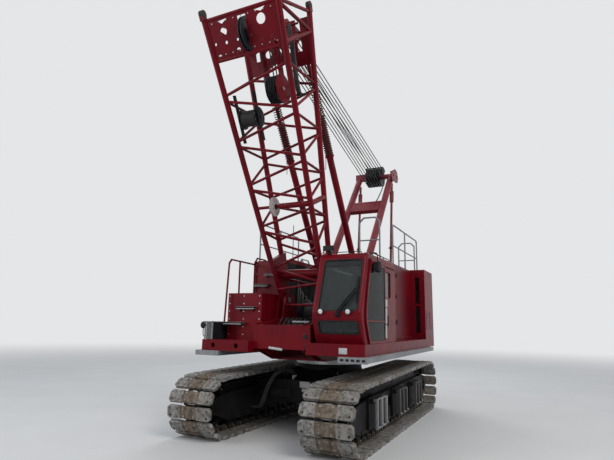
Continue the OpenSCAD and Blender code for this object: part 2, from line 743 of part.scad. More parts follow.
// Fuel tank with two heights on the right deck, ahead of the right house, and its two rails
tank_step_x = 970;
tank_x1 = 1930;
tank_y0 = -1400;
tank_y1 = -612;
tank_step_z = deck_z + 910;
tank_top = house_top - 85;
tread_t = 30;
module fuel_tank() {
    rail_y = tank_y0 + 20;
    color(paint) place() {
        side_plate([
            [right_house_front + fit, deck_z + fit], [tank_x1, deck_z + fit], [tank_x1, tank_step_z],
            [tank_step_x, tank_step_z], [tank_step_x, tank_top], [right_house_front + fit, tank_top]
        ], tank_y0, tank_y1);
        tube_line([[tank_x1 + 135, rail_y, deck_z + 338 + fit], [tank_x1 + 60, rail_y, tank_top - 157],
            [tank_x1 - 12, rail_y, tank_top - 70], [tank_step_x - 5, rail_y, tank_top - 70]], 20);
        bar([1600, rail_y, tank_step_z - 5], [1600, rail_y, tank_top - 70], 19);
        tube_line([[tank_step_x + 45, rail_y, tank_step_z - 5], [tank_step_x + 45, rail_y, tank_top - 38],
            [tank_step_x - 57, rail_y, tank_top + 85], [560, rail_y, tank_top + 85],
            [560, rail_y, tank_top - 5]], 19.5);
    }
}
// Treads on the tank's front faces, and the ribbed unit beside the tank
module front_stairs() {
    treads = [
        [tank_x1, 160, -1400, -970, deck_z + 336], [tank_x1, 90, -1150, -730, deck_z + 635],
        [tank_step_x, 90, -1355, -1010, tank_step_z + 250], [tank_step_x, 90, -1115, -760, tank_step_z + 485]
    ];
    color(metal) place() {
        for (t = treads) {
            block([t[0] + fit, t[2], t[4] - tread_t], [t[0] + t[1], t[3], t[4]]);
        }
        for (x = [1600 : 60 : 2320]) {
            block([x, -1620, deck_z + 20], [x + 36, -1425, deck_z + 345]);
        }
        block([1590, -1600, deck_z + fit], [2380, -1445, deck_z + 325]);
    }
}
// An arch with round shoulders along Y, with a lower rail
module arch(x, y0, y1, z0, z1, low) {
    tube_line([[x, y0, z0], [x, y0, z1 - 100], [x, y0 + 100, z1], [x, y1 - 100, z1],
        [x, y1, z1 - 100], [x, y1, z0]], 20);
    bar([x, y0, low], [x, y1, low], 15.5);
}
module left_handrails() {
    y = house_y1 - 40;
    top = house_top + 960;
    color(metal) place() {
        tube_line([[-980, y, house_top + fit], [-980, y, top - 60], [-1040, y, top], [-3420, y, top],
            [-3480, y, top - 60], [-3480, y, house_top + 20 + fit]], 20);
        bar([-980, y, house_top + 450], [-3480, y, house_top + 450], 15.5);
        bar([-2130, y, house_top + fit], [-2130, y, top], 19.5);
        arch(-50, house_y0 + 30, y - 40, house_top + fit, top, house_top + 440);
        arch(-3440, house_y0 + 30, y - 60, house_top + 20 + fit, top - 50, house_top + 410);
    }
}
module right_handrails() {
    y = -upper_half_w + 45;
    top = house_top + 900;
    x1 = right_house_front - 30;
    color(metal) place() {
        tube_line([[x1, y, house_top + fit], [x1, y, top - 60], [x1 - 60, y, top], [-1480, y, top],
            [-1540, y, top - 60], [-1540, y, house_top + fit]], 20);
        bar([x1, y, house_top + 410], [-1540, y, house_top + 410], 15.5);
        bar([-520, y, house_top + fit], [-520, y, top], 19.5);
        bar([-1100, y + 60, house_top + fit], [-1100, y + 60, house_top + 1170], 12);
        tube_line([[-1680, y, house_top + fit], [-1680, y, house_top + 260], [-1760, y, house_top + 340],
            [-2160, y, house_top + 340], [-2240, y, house_top + 260], [-2240, y, house_top + fit]], 20);
    }
}

// Gantry: slanting front legs, upright rear links and the head with its sheaves
head_p = [-gantry_back, 0, gantry_top];
gantry_leg_y = boom_w0;
gantry_leg_r = 92;
leg_foot = [gantry_foot_x, 0, gantry_foot_z];
leg_dir = (head_p - leg_foot) / norm(head_p - leg_foot);
leg_tilt = atan2(leg_dir[2], -leg_dir[0]);
head_bar_r = 75;
// Lower pins of the boom stops, on brackets ahead of the gantry's legs
stop_y = boom_w0 - 30;
stop_foot = [-610, 3090];
stop_pin_r = 28;
stop_ear_y = 46;
module gantry_legs() {
    color(paint) place() {
        for (side = [-1, 1]) {
            y = side * gantry_leg_y;
            difference() {
                union() {
                    bar(leg_foot + [0, y, 0] + 360 * leg_dir, head_p + [0, y, 0], gantry_leg_r);
                    translate(leg_foot + [0, y - 44, 0]) rotate([0, leg_tilt - 180, 0]) {
                        translate([0, 0, -85]) cube([460, 88, 170]);
                        rotate([-90, 0, 0]) cylinder(h = 88, r = 100);
                    }
                    for (ear = [-1, 1]) {
                        ear_y = side * stop_y + ear * (stop_ear_y + 7);
                        side_plate([[-990, 3180], [-760, 2900], stop_foot + [20, -90], stop_foot + [60, 60],
                            stop_foot + [-40, 90]], ear_y - 7, ear_y + 7);
                    }
                }
                cross_bar(gantry_foot_x, gantry_foot_z, gantry_pin_r + fit, y - 60, y + 60);
                cross_bar(head_p[0], head_p[2], head_bar_r + fit, y - 120, y + 120);
                cross_bar(stop_foot[0], stop_foot[1], stop_pin_r + fit, y - 120, y + 120);
            }
            cross_bar(gantry_foot_x, gantry_foot_z, gantry_pin_r, y - 90, y + 90);
            cross_bar(stop_foot[0], stop_foot[1], stop_pin_r, side * stop_y - 62, side * stop_y + 62);
        }
        // Box beam between the legs with a bar along its top
        low = leg_foot + 0.70 * (head_p - leg_foot);
        high = leg_foot + 0.765 * (head_p - leg_foot);
        out = 62 * [leg_dir[2], 0, -leg_dir[0]];
        side_plate([[low[0] - out[0], low[2] - out[2]], [low[0] + out[0], low[2] + out[2]],
            [high[0] + out[0], high[2] + out[2]], [high[0] - out[0], high[2] - out[2]]],
            -gantry_leg_y + 80, gantry_leg_y - 80);
        cross_bar(high[0], high[2], 71, -gantry_leg_y + 78, gantry_leg_y - 78);
    }
}
link_top = [-gantry_back - 60, gantry_top - 230];
function link_point(t, y) = [link_foot_x + t * (link_top[0] - link_foot_x), y,
    link_foot_z + t * (link_top[1] - link_foot_z)];
module gantry_links() {
    color(paint) place() for (side = [-1, 1]) {
        y = side * gantry_leg_y;
        difference() {
            union() {
                bar([link_foot_x, y, link_foot_z], [link_top[0], y, link_top[1]], 34);
                bar(link_point(0.86, y), link_point(0.94, y), 62);
                cross_bar(link_foot_x, link_foot_z, 90, y - 42, y + 42);
            }
            cross_bar(link_foot_x, link_foot_z, gantry_pin_r + fit, y - 60, y + 60);
            bar(leg_foot + [0, y, 0], head_p + [0, y, 0], gantry_leg_r + fit);
        }
        cross_bar(link_foot_x, link_foot_z, gantry_pin_r, y - 90, y + 90);
    }
}
rope_y = [-200 : 80 : 200];
head_plate_y = gantry_leg_y + 100;
module gantry_head() {
    color(paint) place() {
        difference() {
            union() {
                cross_bar(head_p[0], head_p[2], head_bar_r, -gantry_leg_y - 110, head_plate_y + 20);
                // Box beam at the right end and a plate at the left end
                block([-gantry_back - 95, -gantry_leg_y - 100, gantry_top - 60],
                    [-gantry_back + 95, -248, gantry_top + 125]);
                side_plate([
                    [-rear_reach + 1, gantry_top - 20], [-rear_reach + 90, gantry_top - 180],
                    [-gantry_back + 330, gantry_top - 230], [-gantry_back + 460, gantry_top - 120],
                    [-gantry_back + 440, gantry_top + 20], [-gantry_back + 60, gantry_top + 190],
                    [-rear_reach + 130, gantry_top + 170]
                ], head_plate_y, head_plate_y + 40);
            }
            bar(leg_foot + [0, -gantry_leg_y, 0], head_p + [0, -gantry_leg_y, 0] + fit * leg_dir,
                gantry_leg_r + fit);
            cross_bar(-gantry_back + 270, gantry_top - 60, 42, head_plate_y - 1, head_plate_y + 41);
            cross_bar(-rear_reach + 170, gantry_top - 20, 30, head_plate_y - 1, head_plate_y + 41);
        }
        // The head bar passes through the leg
        cross_bar(head_p[0], head_p[2], head_bar_r, -gantry_leg_y - 99, -gantry_leg_y + 99);
    }
}
module gantry_sheaves() {
    color(black) place() for (y = rope_y) {
        difference() {
            cross_bar(head_p[0], head_p[2], gantry_sheave_r, y - 22, y + 22);
            cross_bar(head_p[0], head_p[2], head_bar_r + fit, y - 30, y + 30);
        }
    }
}

// Winch drums on the bed
module drum(x, r) {
    half = inner_plate_y - 10;
    color(black) place() {
        cross_bar(x, drum_z, r, -half + 20, half - 20);
        for (side = [-1, 1]) {
            cross_bar(x, drum_z, r + 110, side * (half - 20) - 15, side * (half - 20) + 15);
        }
        cross_bar(x, drum_z, 90, -inner_plate_y - plate_t, inner_plate_y + plate_t);
    }
}
module front_winch_drum() { drum(drum_x[0], 230); }
module rear_winch_drum() { drum(drum_x[1], 230); }
module boom_hoist_drum() { drum(drum_x[2], 200); }

// Boom stops: tubes hinged on the gantry's brackets, and rods that slide in them. A spring
// on each rod passes over its tube.
stop_top = [boom_len - 440, 770];
stop_head = [foot_x + stop_top[0] * boom_c - stop_top[1] * boom_s,
    foot_z + stop_top[0] * boom_s + stop_top[1] * boom_c];
stop_len = norm(stop_head - stop_foot);
stop_angle = atan2(stop_head[1] - stop_foot[1], stop_head[0] - stop_foot[0]);
stop_tube_r = 72;
stop_tube_len = stop_len - 1612;
stop_rod_r = 38;
stop_rod_len = stop_len - 2212;
spring_r = 100;
spring_len = stop_rod_len - 1600;
collar_at = stop_len - 800;
module along_stop(side) {
    translate([stop_foot[0], side * stop_y, stop_foot[1]]) rotate([0, 90 - stop_angle, 0]) children();
}
module boom_stop_tubes() {
    color(paint) place() for (side = [-1, 1]) {
        along_stop(side) difference() {
            union() {
                translate([0, 0, 110]) cylinder(h = stop_tube_len - 110, r = stop_tube_r);
                translate([0, -40, 0]) rotate([-90, 0, 0]) cylinder(h = 80, r = 70);
                translate([-60, -40, 0]) cube([120, 80, 200]);
            }
            translate([0, 0, 260]) cylinder(h = stop_tube_len, r = stop_rod_r + fit);
            translate([0, -60, 0]) rotate([-90, 0, 0]) cylinder(h = 120, r = stop_pin_r + fit);
        }
    }
}
module boom_stop_rods() {
    color(paint) place() for (side = [-1, 1]) {
        along_stop(side) {
            translate([0, 0, stop_len - stop_rod_len]) cylinder(h = stop_rod_len, r = stop_rod_r);
            translate([0, -40, stop_len]) rotate([-90, 0, 0]) cylinder(h = 80, r = 62);
            translate([0, 0, collar_at]) cylinder(h = 40, r = spring_r);
            translate([0, 0, collar_at - spring_len]) difference() {
                cylinder(h = spring_len + 1, r = spring_r - 4);
                translate([0, 0, -1]) cylinder(h = spring_len + 1, r = stop_tube_r + 8);
            }
        }
    }
}

// Boom, drawn lying along X from its foot pins and then raised to its angle
module boom_frame() {
    place() translate([foot_x, 0, foot_z]) rotate([0, -boom_angle, 0]) children();
}
function half_w(s) = boom_w0 + (boom_w1 - boom_w0) * s / boom_len;
function half_d(s) = boom_d0 + (boom_d1 - boom_d0) * s / boom_len;
function on_chord(s, side, back) = [s, side * half_w(s), back * half_d(s)];
leg_len = 950;
module chords(r, s0, s1) {
    for (side = [-1, 1]) {
        for (back = [-1, 1]) {
            bar(on_chord(s0, side, back), on_chord(s1, side, back), r);
        }
    }
}
module boom_foot() {
    color(paint) boom_frame() {
        for (side = [-1, 1]) {
            difference() {
                union() {
                    cross_bar(0, 0, 130, side * boom_w0 - leg_t / 2, side * boom_w0 + leg_t / 2);
                    side_plate([[0, -130], [0, 130], [leg_len, half_d(leg_len) + chord_r],
                        [leg_len, -half_d(leg_len) - chord_r]],
                        side * boom_w0 - leg_t / 2, side * boom_w0 + leg_t / 2);
                }
                cross_bar(0, 0, foot_pin_r + fit, side * boom_w0 - leg_t, side * boom_w0 + leg_t);
                chords(chord_r + fit, leg_len - 300, boom_len);
            }
        }
        cross_bar(560, 0, 90, -boom_w0 + leg_t / 2, boom_w0 - leg_t / 2);
    }
}
module boom_chords() {
    color(paint) boom_frame() chords(chord_r, leg_len - 300 + fit, boom_len - 120);
}
// Zigzag lacing between two chords. Two tubes end side by side at each lacing joint, and
// at the joint with the guide sheave there's room for a cross tube between them.
head_s0 = boom_len - 825;
guide_joint = 2;
guide_s = lacing_start + guide_joint * lacing_step;
function lacing_apart(i) = i == guide_joint ? 93 : 48;
lacing_count = floor((head_s0 - 200 - lacing_start) / lacing_step);
module zigzag(chord_a, chord_b) {
    for (i = [0 : lacing_count - 1]) {
        s0 = lacing_start + i * lacing_step + lacing_apart(i);
        s1 = lacing_start + (i + 1) * lacing_step - lacing_apart(i + 1);
        a = i % 2 == 0 ? chord_a : chord_b;
        b = i % 2 == 0 ? chord_b : chord_a;
        bar(on_chord(s0, a[0], a[1]), on_chord(s1, b[0], b[1]), lacing_r);
    }
}
module lacing(chord_a, chord_b) {
    color(paint) difference() {
        zigzag(chord_a, chord_b);
        // The cutting bars are turned so that their seams lie on the boom's outside
        for (c = [chord_a, chord_b]) {
            bar(on_chord(leg_len - 100, c[0], c[1]), on_chord(boom_len, c[0], c[1]), chord_r + fit,
                atan2(c[0], -c[1]));
        }
    }
}
module boom_front_lacing() { boom_frame() lacing([1, -1], [-1, -1]); }
module boom_rear_lacing() { boom_frame() rotate([180, 0, 0]) lacing([1, -1], [-1, -1]); }
module boom_left_lacing() { boom_frame() lacing([1, -1], [1, 1]); }
module boom_right_lacing() { boom_frame() rotate([180, 0, 0]) lacing([1, -1], [1, 1]); }

plate_s1 = boom_len - 120;
head_plate_t = 12;
hanger_y = [-40, 260];
sheave_s = boom_len - 1460;
head_mid_s = head_s0 + 189;
front_sheave_s = head_s0 + 335;
front_sheave_d = 120 - half_d(front_sheave_s);
front_sheave_r = 305;
cheek_at = [-94, 92];
rear_s0 = boom_len - 1060;
rear_s1 = boom_len - 190;
module head_eyes() {
    for (side = [-1, 1]) {
        for (back = [-1, 1]) {
            p = on_chord(boom_len, side, back);
            difference() {
                union() {
                    cross_bar(p[0], p[2], lug_r, p[1] - 40, p[1] + 40);
                    side_plate([[boom_len - 119, p[2] - 58], [boom_len, p[2] - 64], [boom_len, p[2] + 64],
                        [boom_len - 119, p[2] + 58]], p[1] - 40, p[1] + 40);
                }
                cross_bar(p[0], p[2], head_pin_r, p[1] - 60, p[1] + 60);
            }
        }
    }
}
// A plate that lies in the front or rear plane of the boom
module plane_plate(s0, s1, back, y0, y1) {
    t = head_plate_t;
    side_plate([[s0, back * half_d(s0) - t], [s1, back * half_d(s1) - t],
        [s1, back * half_d(s1) + t], [s0, back * half_d(s0) + t]], y0, y1);
}
// Holes of the front plate: distance past the head's start, place across and radius
front_holes = [
    [492, 367, 90], [460, -405, 70], [65, -588, 40], [93, -181, 50], [273, -394, 30], [287, -622, 25],
    [60, -404, 24], [272, -158, 25], [77, 556, 40], [287, 127, 20], [180, 330, 26], [180, 520, 26]
];
module front_plate() {
    edge = half_w(head_s0 + 345);
    difference() {
        plane_plate(head_s0, plate_s1, -1, -edge, edge);
        for (h = front_holes) {
            translate([head_s0 + h[0], h[1], -half_d(head_s0 + h[0]) - 60]) cylinder(h = 120, r = h[2]);
        }
        // Notches near the far edge
        for (n = [[645, -490, 659, -273, 585, -400], [655, 250, 670, 500, 605, 400]]) {
            translate([head_s0, 0, -half_d(head_s0 + 640) - 60]) linear_extrude(120)
                polygon([[n[0], n[1]], [n[2], n[3]], [n[4], n[5]]]);
        }
        block([head_s0 + 30, cheek_at[0] + 12, -half_d(boom_len) - 60],
            [head_s0 + 640, cheek_at[1], -half_d(head_s0) + 60]);
    }
}
module boom_head() {
    color(paint) boom_frame() {
        difference() {
            union() {
                head_eyes();
                front_plate();
                // Tubes along the front plate's edges, and the open sides
                for (s = [head_s0, plate_s1]) {
                    cross_bar(s, -half_d(s), 31, -half_w(s), half_w(s));
                }
                for (side = [-1, 1]) {
                    bar(on_chord(head_s0 + 35, side, -1), on_chord(head_s0 + 350, side, 1), 34);
                    bar(on_chord(head_s0 + 665, side, -1), on_chord(head_s0 + 350, side, 1), 34.5);
                    bar(on_chord(plate_s1 + 5, side, -1), on_chord(plate_s1 + 5, side, 1), 33);
                }
                // Rear plate with an arched lower edge
                difference() {
                    plane_plate(rear_s0, rear_s1, 1, -half_w(head_s0), half_w(head_s0));
                    translate([rear_s0 - 350, 0, half_d(rear_s0) - 100]) cylinder(h = 200, r = 500);
                    for (y = [-230, 0, 230]) {
                        translate([head_s0 + 130, y, half_d(head_s0 + 130) - 60]) cylinder(h = 120, r = 70);
                    }
                }
                // Cheeks of the front sheave
                for (y = cheek_at) {
                    side_plate([[front_sheave_s - 200, -half_d(front_sheave_s - 200) - 40],
                        [front_sheave_s + 200, -half_d(front_sheave_s + 200) - 40],
                        [front_sheave_s + 90, front_sheave_d + 90],
                        [front_sheave_s - 90, front_sheave_d + 90]],
                        y, y + 12);
                }
                // Ears for the eyes of the boom stops
                for (side = [-1, 1]) {
                    for (ear = [-1, 1]) {
                        ear_y = side * stop_y + ear * (stop_ear_y + 8);
                        side_plate([[stop_top[0] - 200, half_d(stop_top[0] - 200)],
                            [stop_top[0] + 150, half_d(stop_top[0] + 150)],
                            [stop_top[0] + 70, stop_top[1] + 60], [stop_top[0] - 70, stop_top[1] + 60]],
                            ear_y - 8, ear_y + 8);
                    }
                }
                // Cross tube that the sheave's hangers are welded to
                cross_bar(head_mid_s, 0, 55, -half_w(head_mid_s) + 1, half_w(head_mid_s) - 1);
                for (y = hanger_y) {
                    side_plate([[sheave_s - 70, -60], [sheave_s - 70, 60], [head_mid_s, 90],
                        [head_mid_s, -90]], y - 8, y + 8);
                }
                // Cover beside the sheaves
                cross_bar(sheave_s, 0, 275, hanger_y[1] - 7, hanger_y[1] + 7);
            }
            chords(chord_r + fit, 0, boom_len - 120 + fit);
            // Slots that let the stops' eyes move
            for (side = [-1, 1]) {
                block([head_s0 + 40, side * stop_y - stop_ear_y, half_d(head_s0) - 40],
                    [rear_s1 + 1, side * stop_y + stop_ear_y, half_d(boom_len) + 40]);
            }
            cross_bar(sheave_s, 0, 40 + fit, hanger_y[0] - 20, hanger_y[1] + 20);
            cross_bar(front_sheave_s, front_sheave_d, 40 + fit, cheek_at[0] - 1, cheek_at[1] + 13);
        }
    }
}
module boom_sheaves() {
    color(black) boom_frame() {
        for (y = [40, 110, 180]) {
            cross_bar(sheave_s, 0, 260, y - 25, y + 25);
        }
        cross_bar(sheave_s, 0, 40, hanger_y[0] - 20, hanger_y[1] + 20);
    }
}
// Guide sheave on a cross tube low in the front plane, and the sheave in the head's slot
module boom_guide_sheaves() {
    d = -half_d(guide_s);
    disc_y = -176;
    color("beige") boom_frame() {
        difference() {
            union() {
                cross_bar(guide_s, d, 185, disc_y - 25, disc_y + 25);
                cross_bar(guide_s, d, 30, -half_w(guide_s), 0);
                cross_bar(guide_s, d, 55, -40, half_w(guide_s));
                bar(on_chord(guide_s, 1, -1), on_chord(guide_s, 1, 1), 54);
            }
            chords(chord_r + fit, guide_s - 400, guide_s + 400);
        }
        cross_bar(front_sheave_s, front_sheave_d, front_sheave_r, -40, 50);
        cross_bar(front_sheave_s, front_sheave_d, 40, cheek_at[0], cheek_at[1] + 12);
    }
}
// Block at the back of the boom's far end that the hoist ropes run to
bridle_s = boom_len - 200;
bridle_r = 110;
bridle_d = half_d(bridle_s) + head_plate_t + bridle_r + 2;
module hoist_bridle() {
    t = head_plate_t + fit;
    color(paint) boom_frame() {
        for (y = [-330, 330]) {
            side_plate([[bridle_s - 260, half_d(bridle_s - 260) + t],
                [bridle_s - 30, half_d(bridle_s - 30) + t], [bridle_s + 45, bridle_d],
                [bridle_s, bridle_d + 50], [bridle_s - 45, bridle_d + 20]], y - 10, y + 10);
        }
        cross_bar(bridle_s, bridle_d, 32, -345, 345);
        for (y = rope_y) {
            cross_bar(bridle_s, bridle_d, bridle_r, y - 20, y + 20);
        }
    }
}
winch_s = boom_len - 1900;
winch_d = 142 - half_d(winch_s);
winch_bar_y = [-half_w(winch_s) + 138, -half_w(winch_s) + 548];
module rigging_winch_frame() {
    s0 = winch_s - 440;
    s1 = winch_s + 450;
    low = lacing_r + fit;
    color(black) boom_frame() for (y = winch_bar_y) {
        difference() {
            union() {
                side_plate([[s0, -half_d(s0) + low], [s1, -half_d(s1) + low],
                    [s1, -half_d(s1) + low + 70], [s0, -half_d(s0) + low + 70]], y - 15, y + 15);
                side_plate([[winch_s - 170, -half_d(winch_s) + 60], [winch_s + 170, -half_d(winch_s) + 60],
                    [winch_s + 60, winch_d + 70], [winch_s - 60, winch_d + 70]], y - 15, y + 15);
            }
            cross_bar(winch_s, winch_d, 40 + fit, y - 20, y + 20);
        }
    }
}
module rigging_winch_drum() {
    color(black) boom_frame() {
        cross_bar(winch_s, winch_d, 150, winch_bar_y[0] + 30, winch_bar_y[1] - 30);
        for (y = [winch_bar_y[0] + 30, winch_bar_y[1] - 45]) {
            cross_bar(winch_s, winch_d, 190, y, y + 15);
        }
        cross_bar(winch_s, winch_d, 40, winch_bar_y[0] - 30, winch_bar_y[1] + 30);
    }
}
// Ropes from the gantry head to the far end of the boom
rope_r = 11;
module boom_hoist_ropes() {
    from = [head_p[0], head_p[2]];
    to = [foot_x + bridle_s * boom_c - bridle_d * boom_s, foot_z + bridle_s * boom_s + bridle_d * boom_c];
    dir = (to - from) / norm(to - from);
    up = [-dir[1], dir[0]];
    color(black) place() for (y = rope_y) {
        p = from + up * (gantry_sheave_r + rope_r + fit);
        q = to + up * (bridle_r + rope_r + fit);
        bar([p[0], y, p[1]], [q[0], y, q[1]], rope_r);
        p2 = from - up * (gantry_sheave_r + rope_r + fit);
        q2 = to - up * (bridle_r + rope_r + fit);
        bar([p2[0], y, p2[1]], [q2[0], y, q2[1]], rope_r);
    }
}

carbody();
slew_ring();
carbody_hoses();
left_track_frame();
left_track();
left_idler();
left_sprocket();
left_rollers();
left_steps();
right_track_frame();
right_track();
right_idler();
right_sprocket();
right_rollers();
right_steps();
rotating_bed();
boom_foot_pins();
left_deck();
right_deck();
left_catwalk();
right_catwalk();
cab_shell();
front_windows();
cab_side_windows();
operator_seat();
cab_mirrors();
cab_door();
cab_door_glass();
left_house();
intake_housing();
right_house();
engine_block();
front_engine_door();
rear_engine_door();
fuel_tank();
front_stairs();
left_handrails();
right_handrails();
gantry_legs();
gantry_links();
gantry_head();
gantry_sheaves();
front_winch_drum();
rear_winch_drum();
boom_hoist_drum();
boom_stop_tubes();
boom_stop_rods();
boom_foot();
boom_chords();
boom_front_lacing();
boom_rear_lacing();
boom_left_lacing();
boom_right_lacing();
boom_head();
boom_sheaves();
boom_guide_sheaves();
rigging_winch_frame();
rigging_winch_drum();
hoist_bridle();
boom_hoist_ropes();
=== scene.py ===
"""Looks of a crawler crane with the foot section of its lattice boom raised.

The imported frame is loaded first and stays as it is. Every class below dresses one sub-assembly of it, in
metres and in the frame's own axes: X forward along the boom, Y to the left side, Z up.
"""

from __future__ import annotations

import json
import logging
import math
from collections.abc import Iterable, Sequence
from dataclasses import dataclass, field
from enum import Enum

import bmesh
import bpy
from mathutils import Matrix, Vector

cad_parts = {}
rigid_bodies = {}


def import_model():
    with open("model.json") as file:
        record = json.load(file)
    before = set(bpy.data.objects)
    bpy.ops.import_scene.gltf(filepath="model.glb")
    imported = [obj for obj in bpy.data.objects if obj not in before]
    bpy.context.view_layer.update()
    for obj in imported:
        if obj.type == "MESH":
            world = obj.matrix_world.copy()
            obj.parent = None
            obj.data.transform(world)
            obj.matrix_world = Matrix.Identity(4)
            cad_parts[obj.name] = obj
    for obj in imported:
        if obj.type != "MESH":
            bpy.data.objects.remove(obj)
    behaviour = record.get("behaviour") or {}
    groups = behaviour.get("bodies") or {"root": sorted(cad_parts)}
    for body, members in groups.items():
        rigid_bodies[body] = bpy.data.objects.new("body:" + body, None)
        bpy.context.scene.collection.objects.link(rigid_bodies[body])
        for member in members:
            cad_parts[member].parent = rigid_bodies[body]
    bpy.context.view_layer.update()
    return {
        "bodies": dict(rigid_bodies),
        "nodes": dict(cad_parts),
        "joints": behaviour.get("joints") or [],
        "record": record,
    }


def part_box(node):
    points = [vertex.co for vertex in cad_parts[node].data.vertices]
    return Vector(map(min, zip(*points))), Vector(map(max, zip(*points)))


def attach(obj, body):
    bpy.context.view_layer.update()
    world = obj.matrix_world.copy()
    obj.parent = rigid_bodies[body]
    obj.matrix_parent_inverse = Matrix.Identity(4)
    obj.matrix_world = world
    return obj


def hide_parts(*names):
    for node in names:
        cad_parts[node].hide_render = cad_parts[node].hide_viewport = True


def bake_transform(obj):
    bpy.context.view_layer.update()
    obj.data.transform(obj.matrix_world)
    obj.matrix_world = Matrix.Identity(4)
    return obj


LOG = logging.getLogger("crawler_crane")

Colour = tuple[float, float, float]
Point = Sequence[float]
Pair = tuple[float, float]

SIDES: tuple[tuple[str, int], ...] = (("left", 1), ("right", -1))
TRACK_MIDDLE: float = 1.2825
BACKDROP: Colour = (0.78, 0.79, 0.80)
DUST: Colour = (0.30, 0.26, 0.21)
CAKED_DIRT: Colour = (0.030, 0.025, 0.021)
PANE_DUST: Colour = (0.45, 0.44, 0.40)


class Axis(Enum):
    """The frame's axes, as unit vectors."""

    X = (1.0, 0.0, 0.0)
    Y = (0.0, 1.0, 0.0)
    Z = (0.0, 0.0, 1.0)

    @property
    def vector(self) -> Vector:
        """The axis as a vector."""
        return Vector(self.value)


class Finish(Enum):
    """Names of the crane's finishes, as its materials are called."""

    RED_PAINT = "red_gloss_paint"
    BLACK_PAINT = "black_chassis_paint"
    WINCH_PAINT = "black_winch_paint"
    SHOE_STEEL = "worn_track_steel"
    SHOE_RUST = "rusty_shoe_middle"
    CHAIN = "oily_chain_steel"
    PIN_STEEL = "machined_pin_steel"
    WALKWAY = "dull_walkway_metal"
    RUBBER = "matt_black_rubber"
    HOSE = "scuffed_hose_rubber"
    CLOTH = "dark_seat_cloth"
    ENGINE = "grey_engine_paint"
    ROPE = "greased_wire_rope"
    GLASS = "tinted_cab_glass"
    CREAM = "cream_worn_paint"
    LENS = "frosted_lamp_lens"
    MIRROR = "mirror_glass"
    PLATE = "blank_pale_plate"
    TRIM = "moulded_dark_trim"
    DOOR_GLASS = "dark_door_glass"
    DULL_STEEL = "dull_dark_steel"
    FADED_RED = "sun_faded_red_paint"


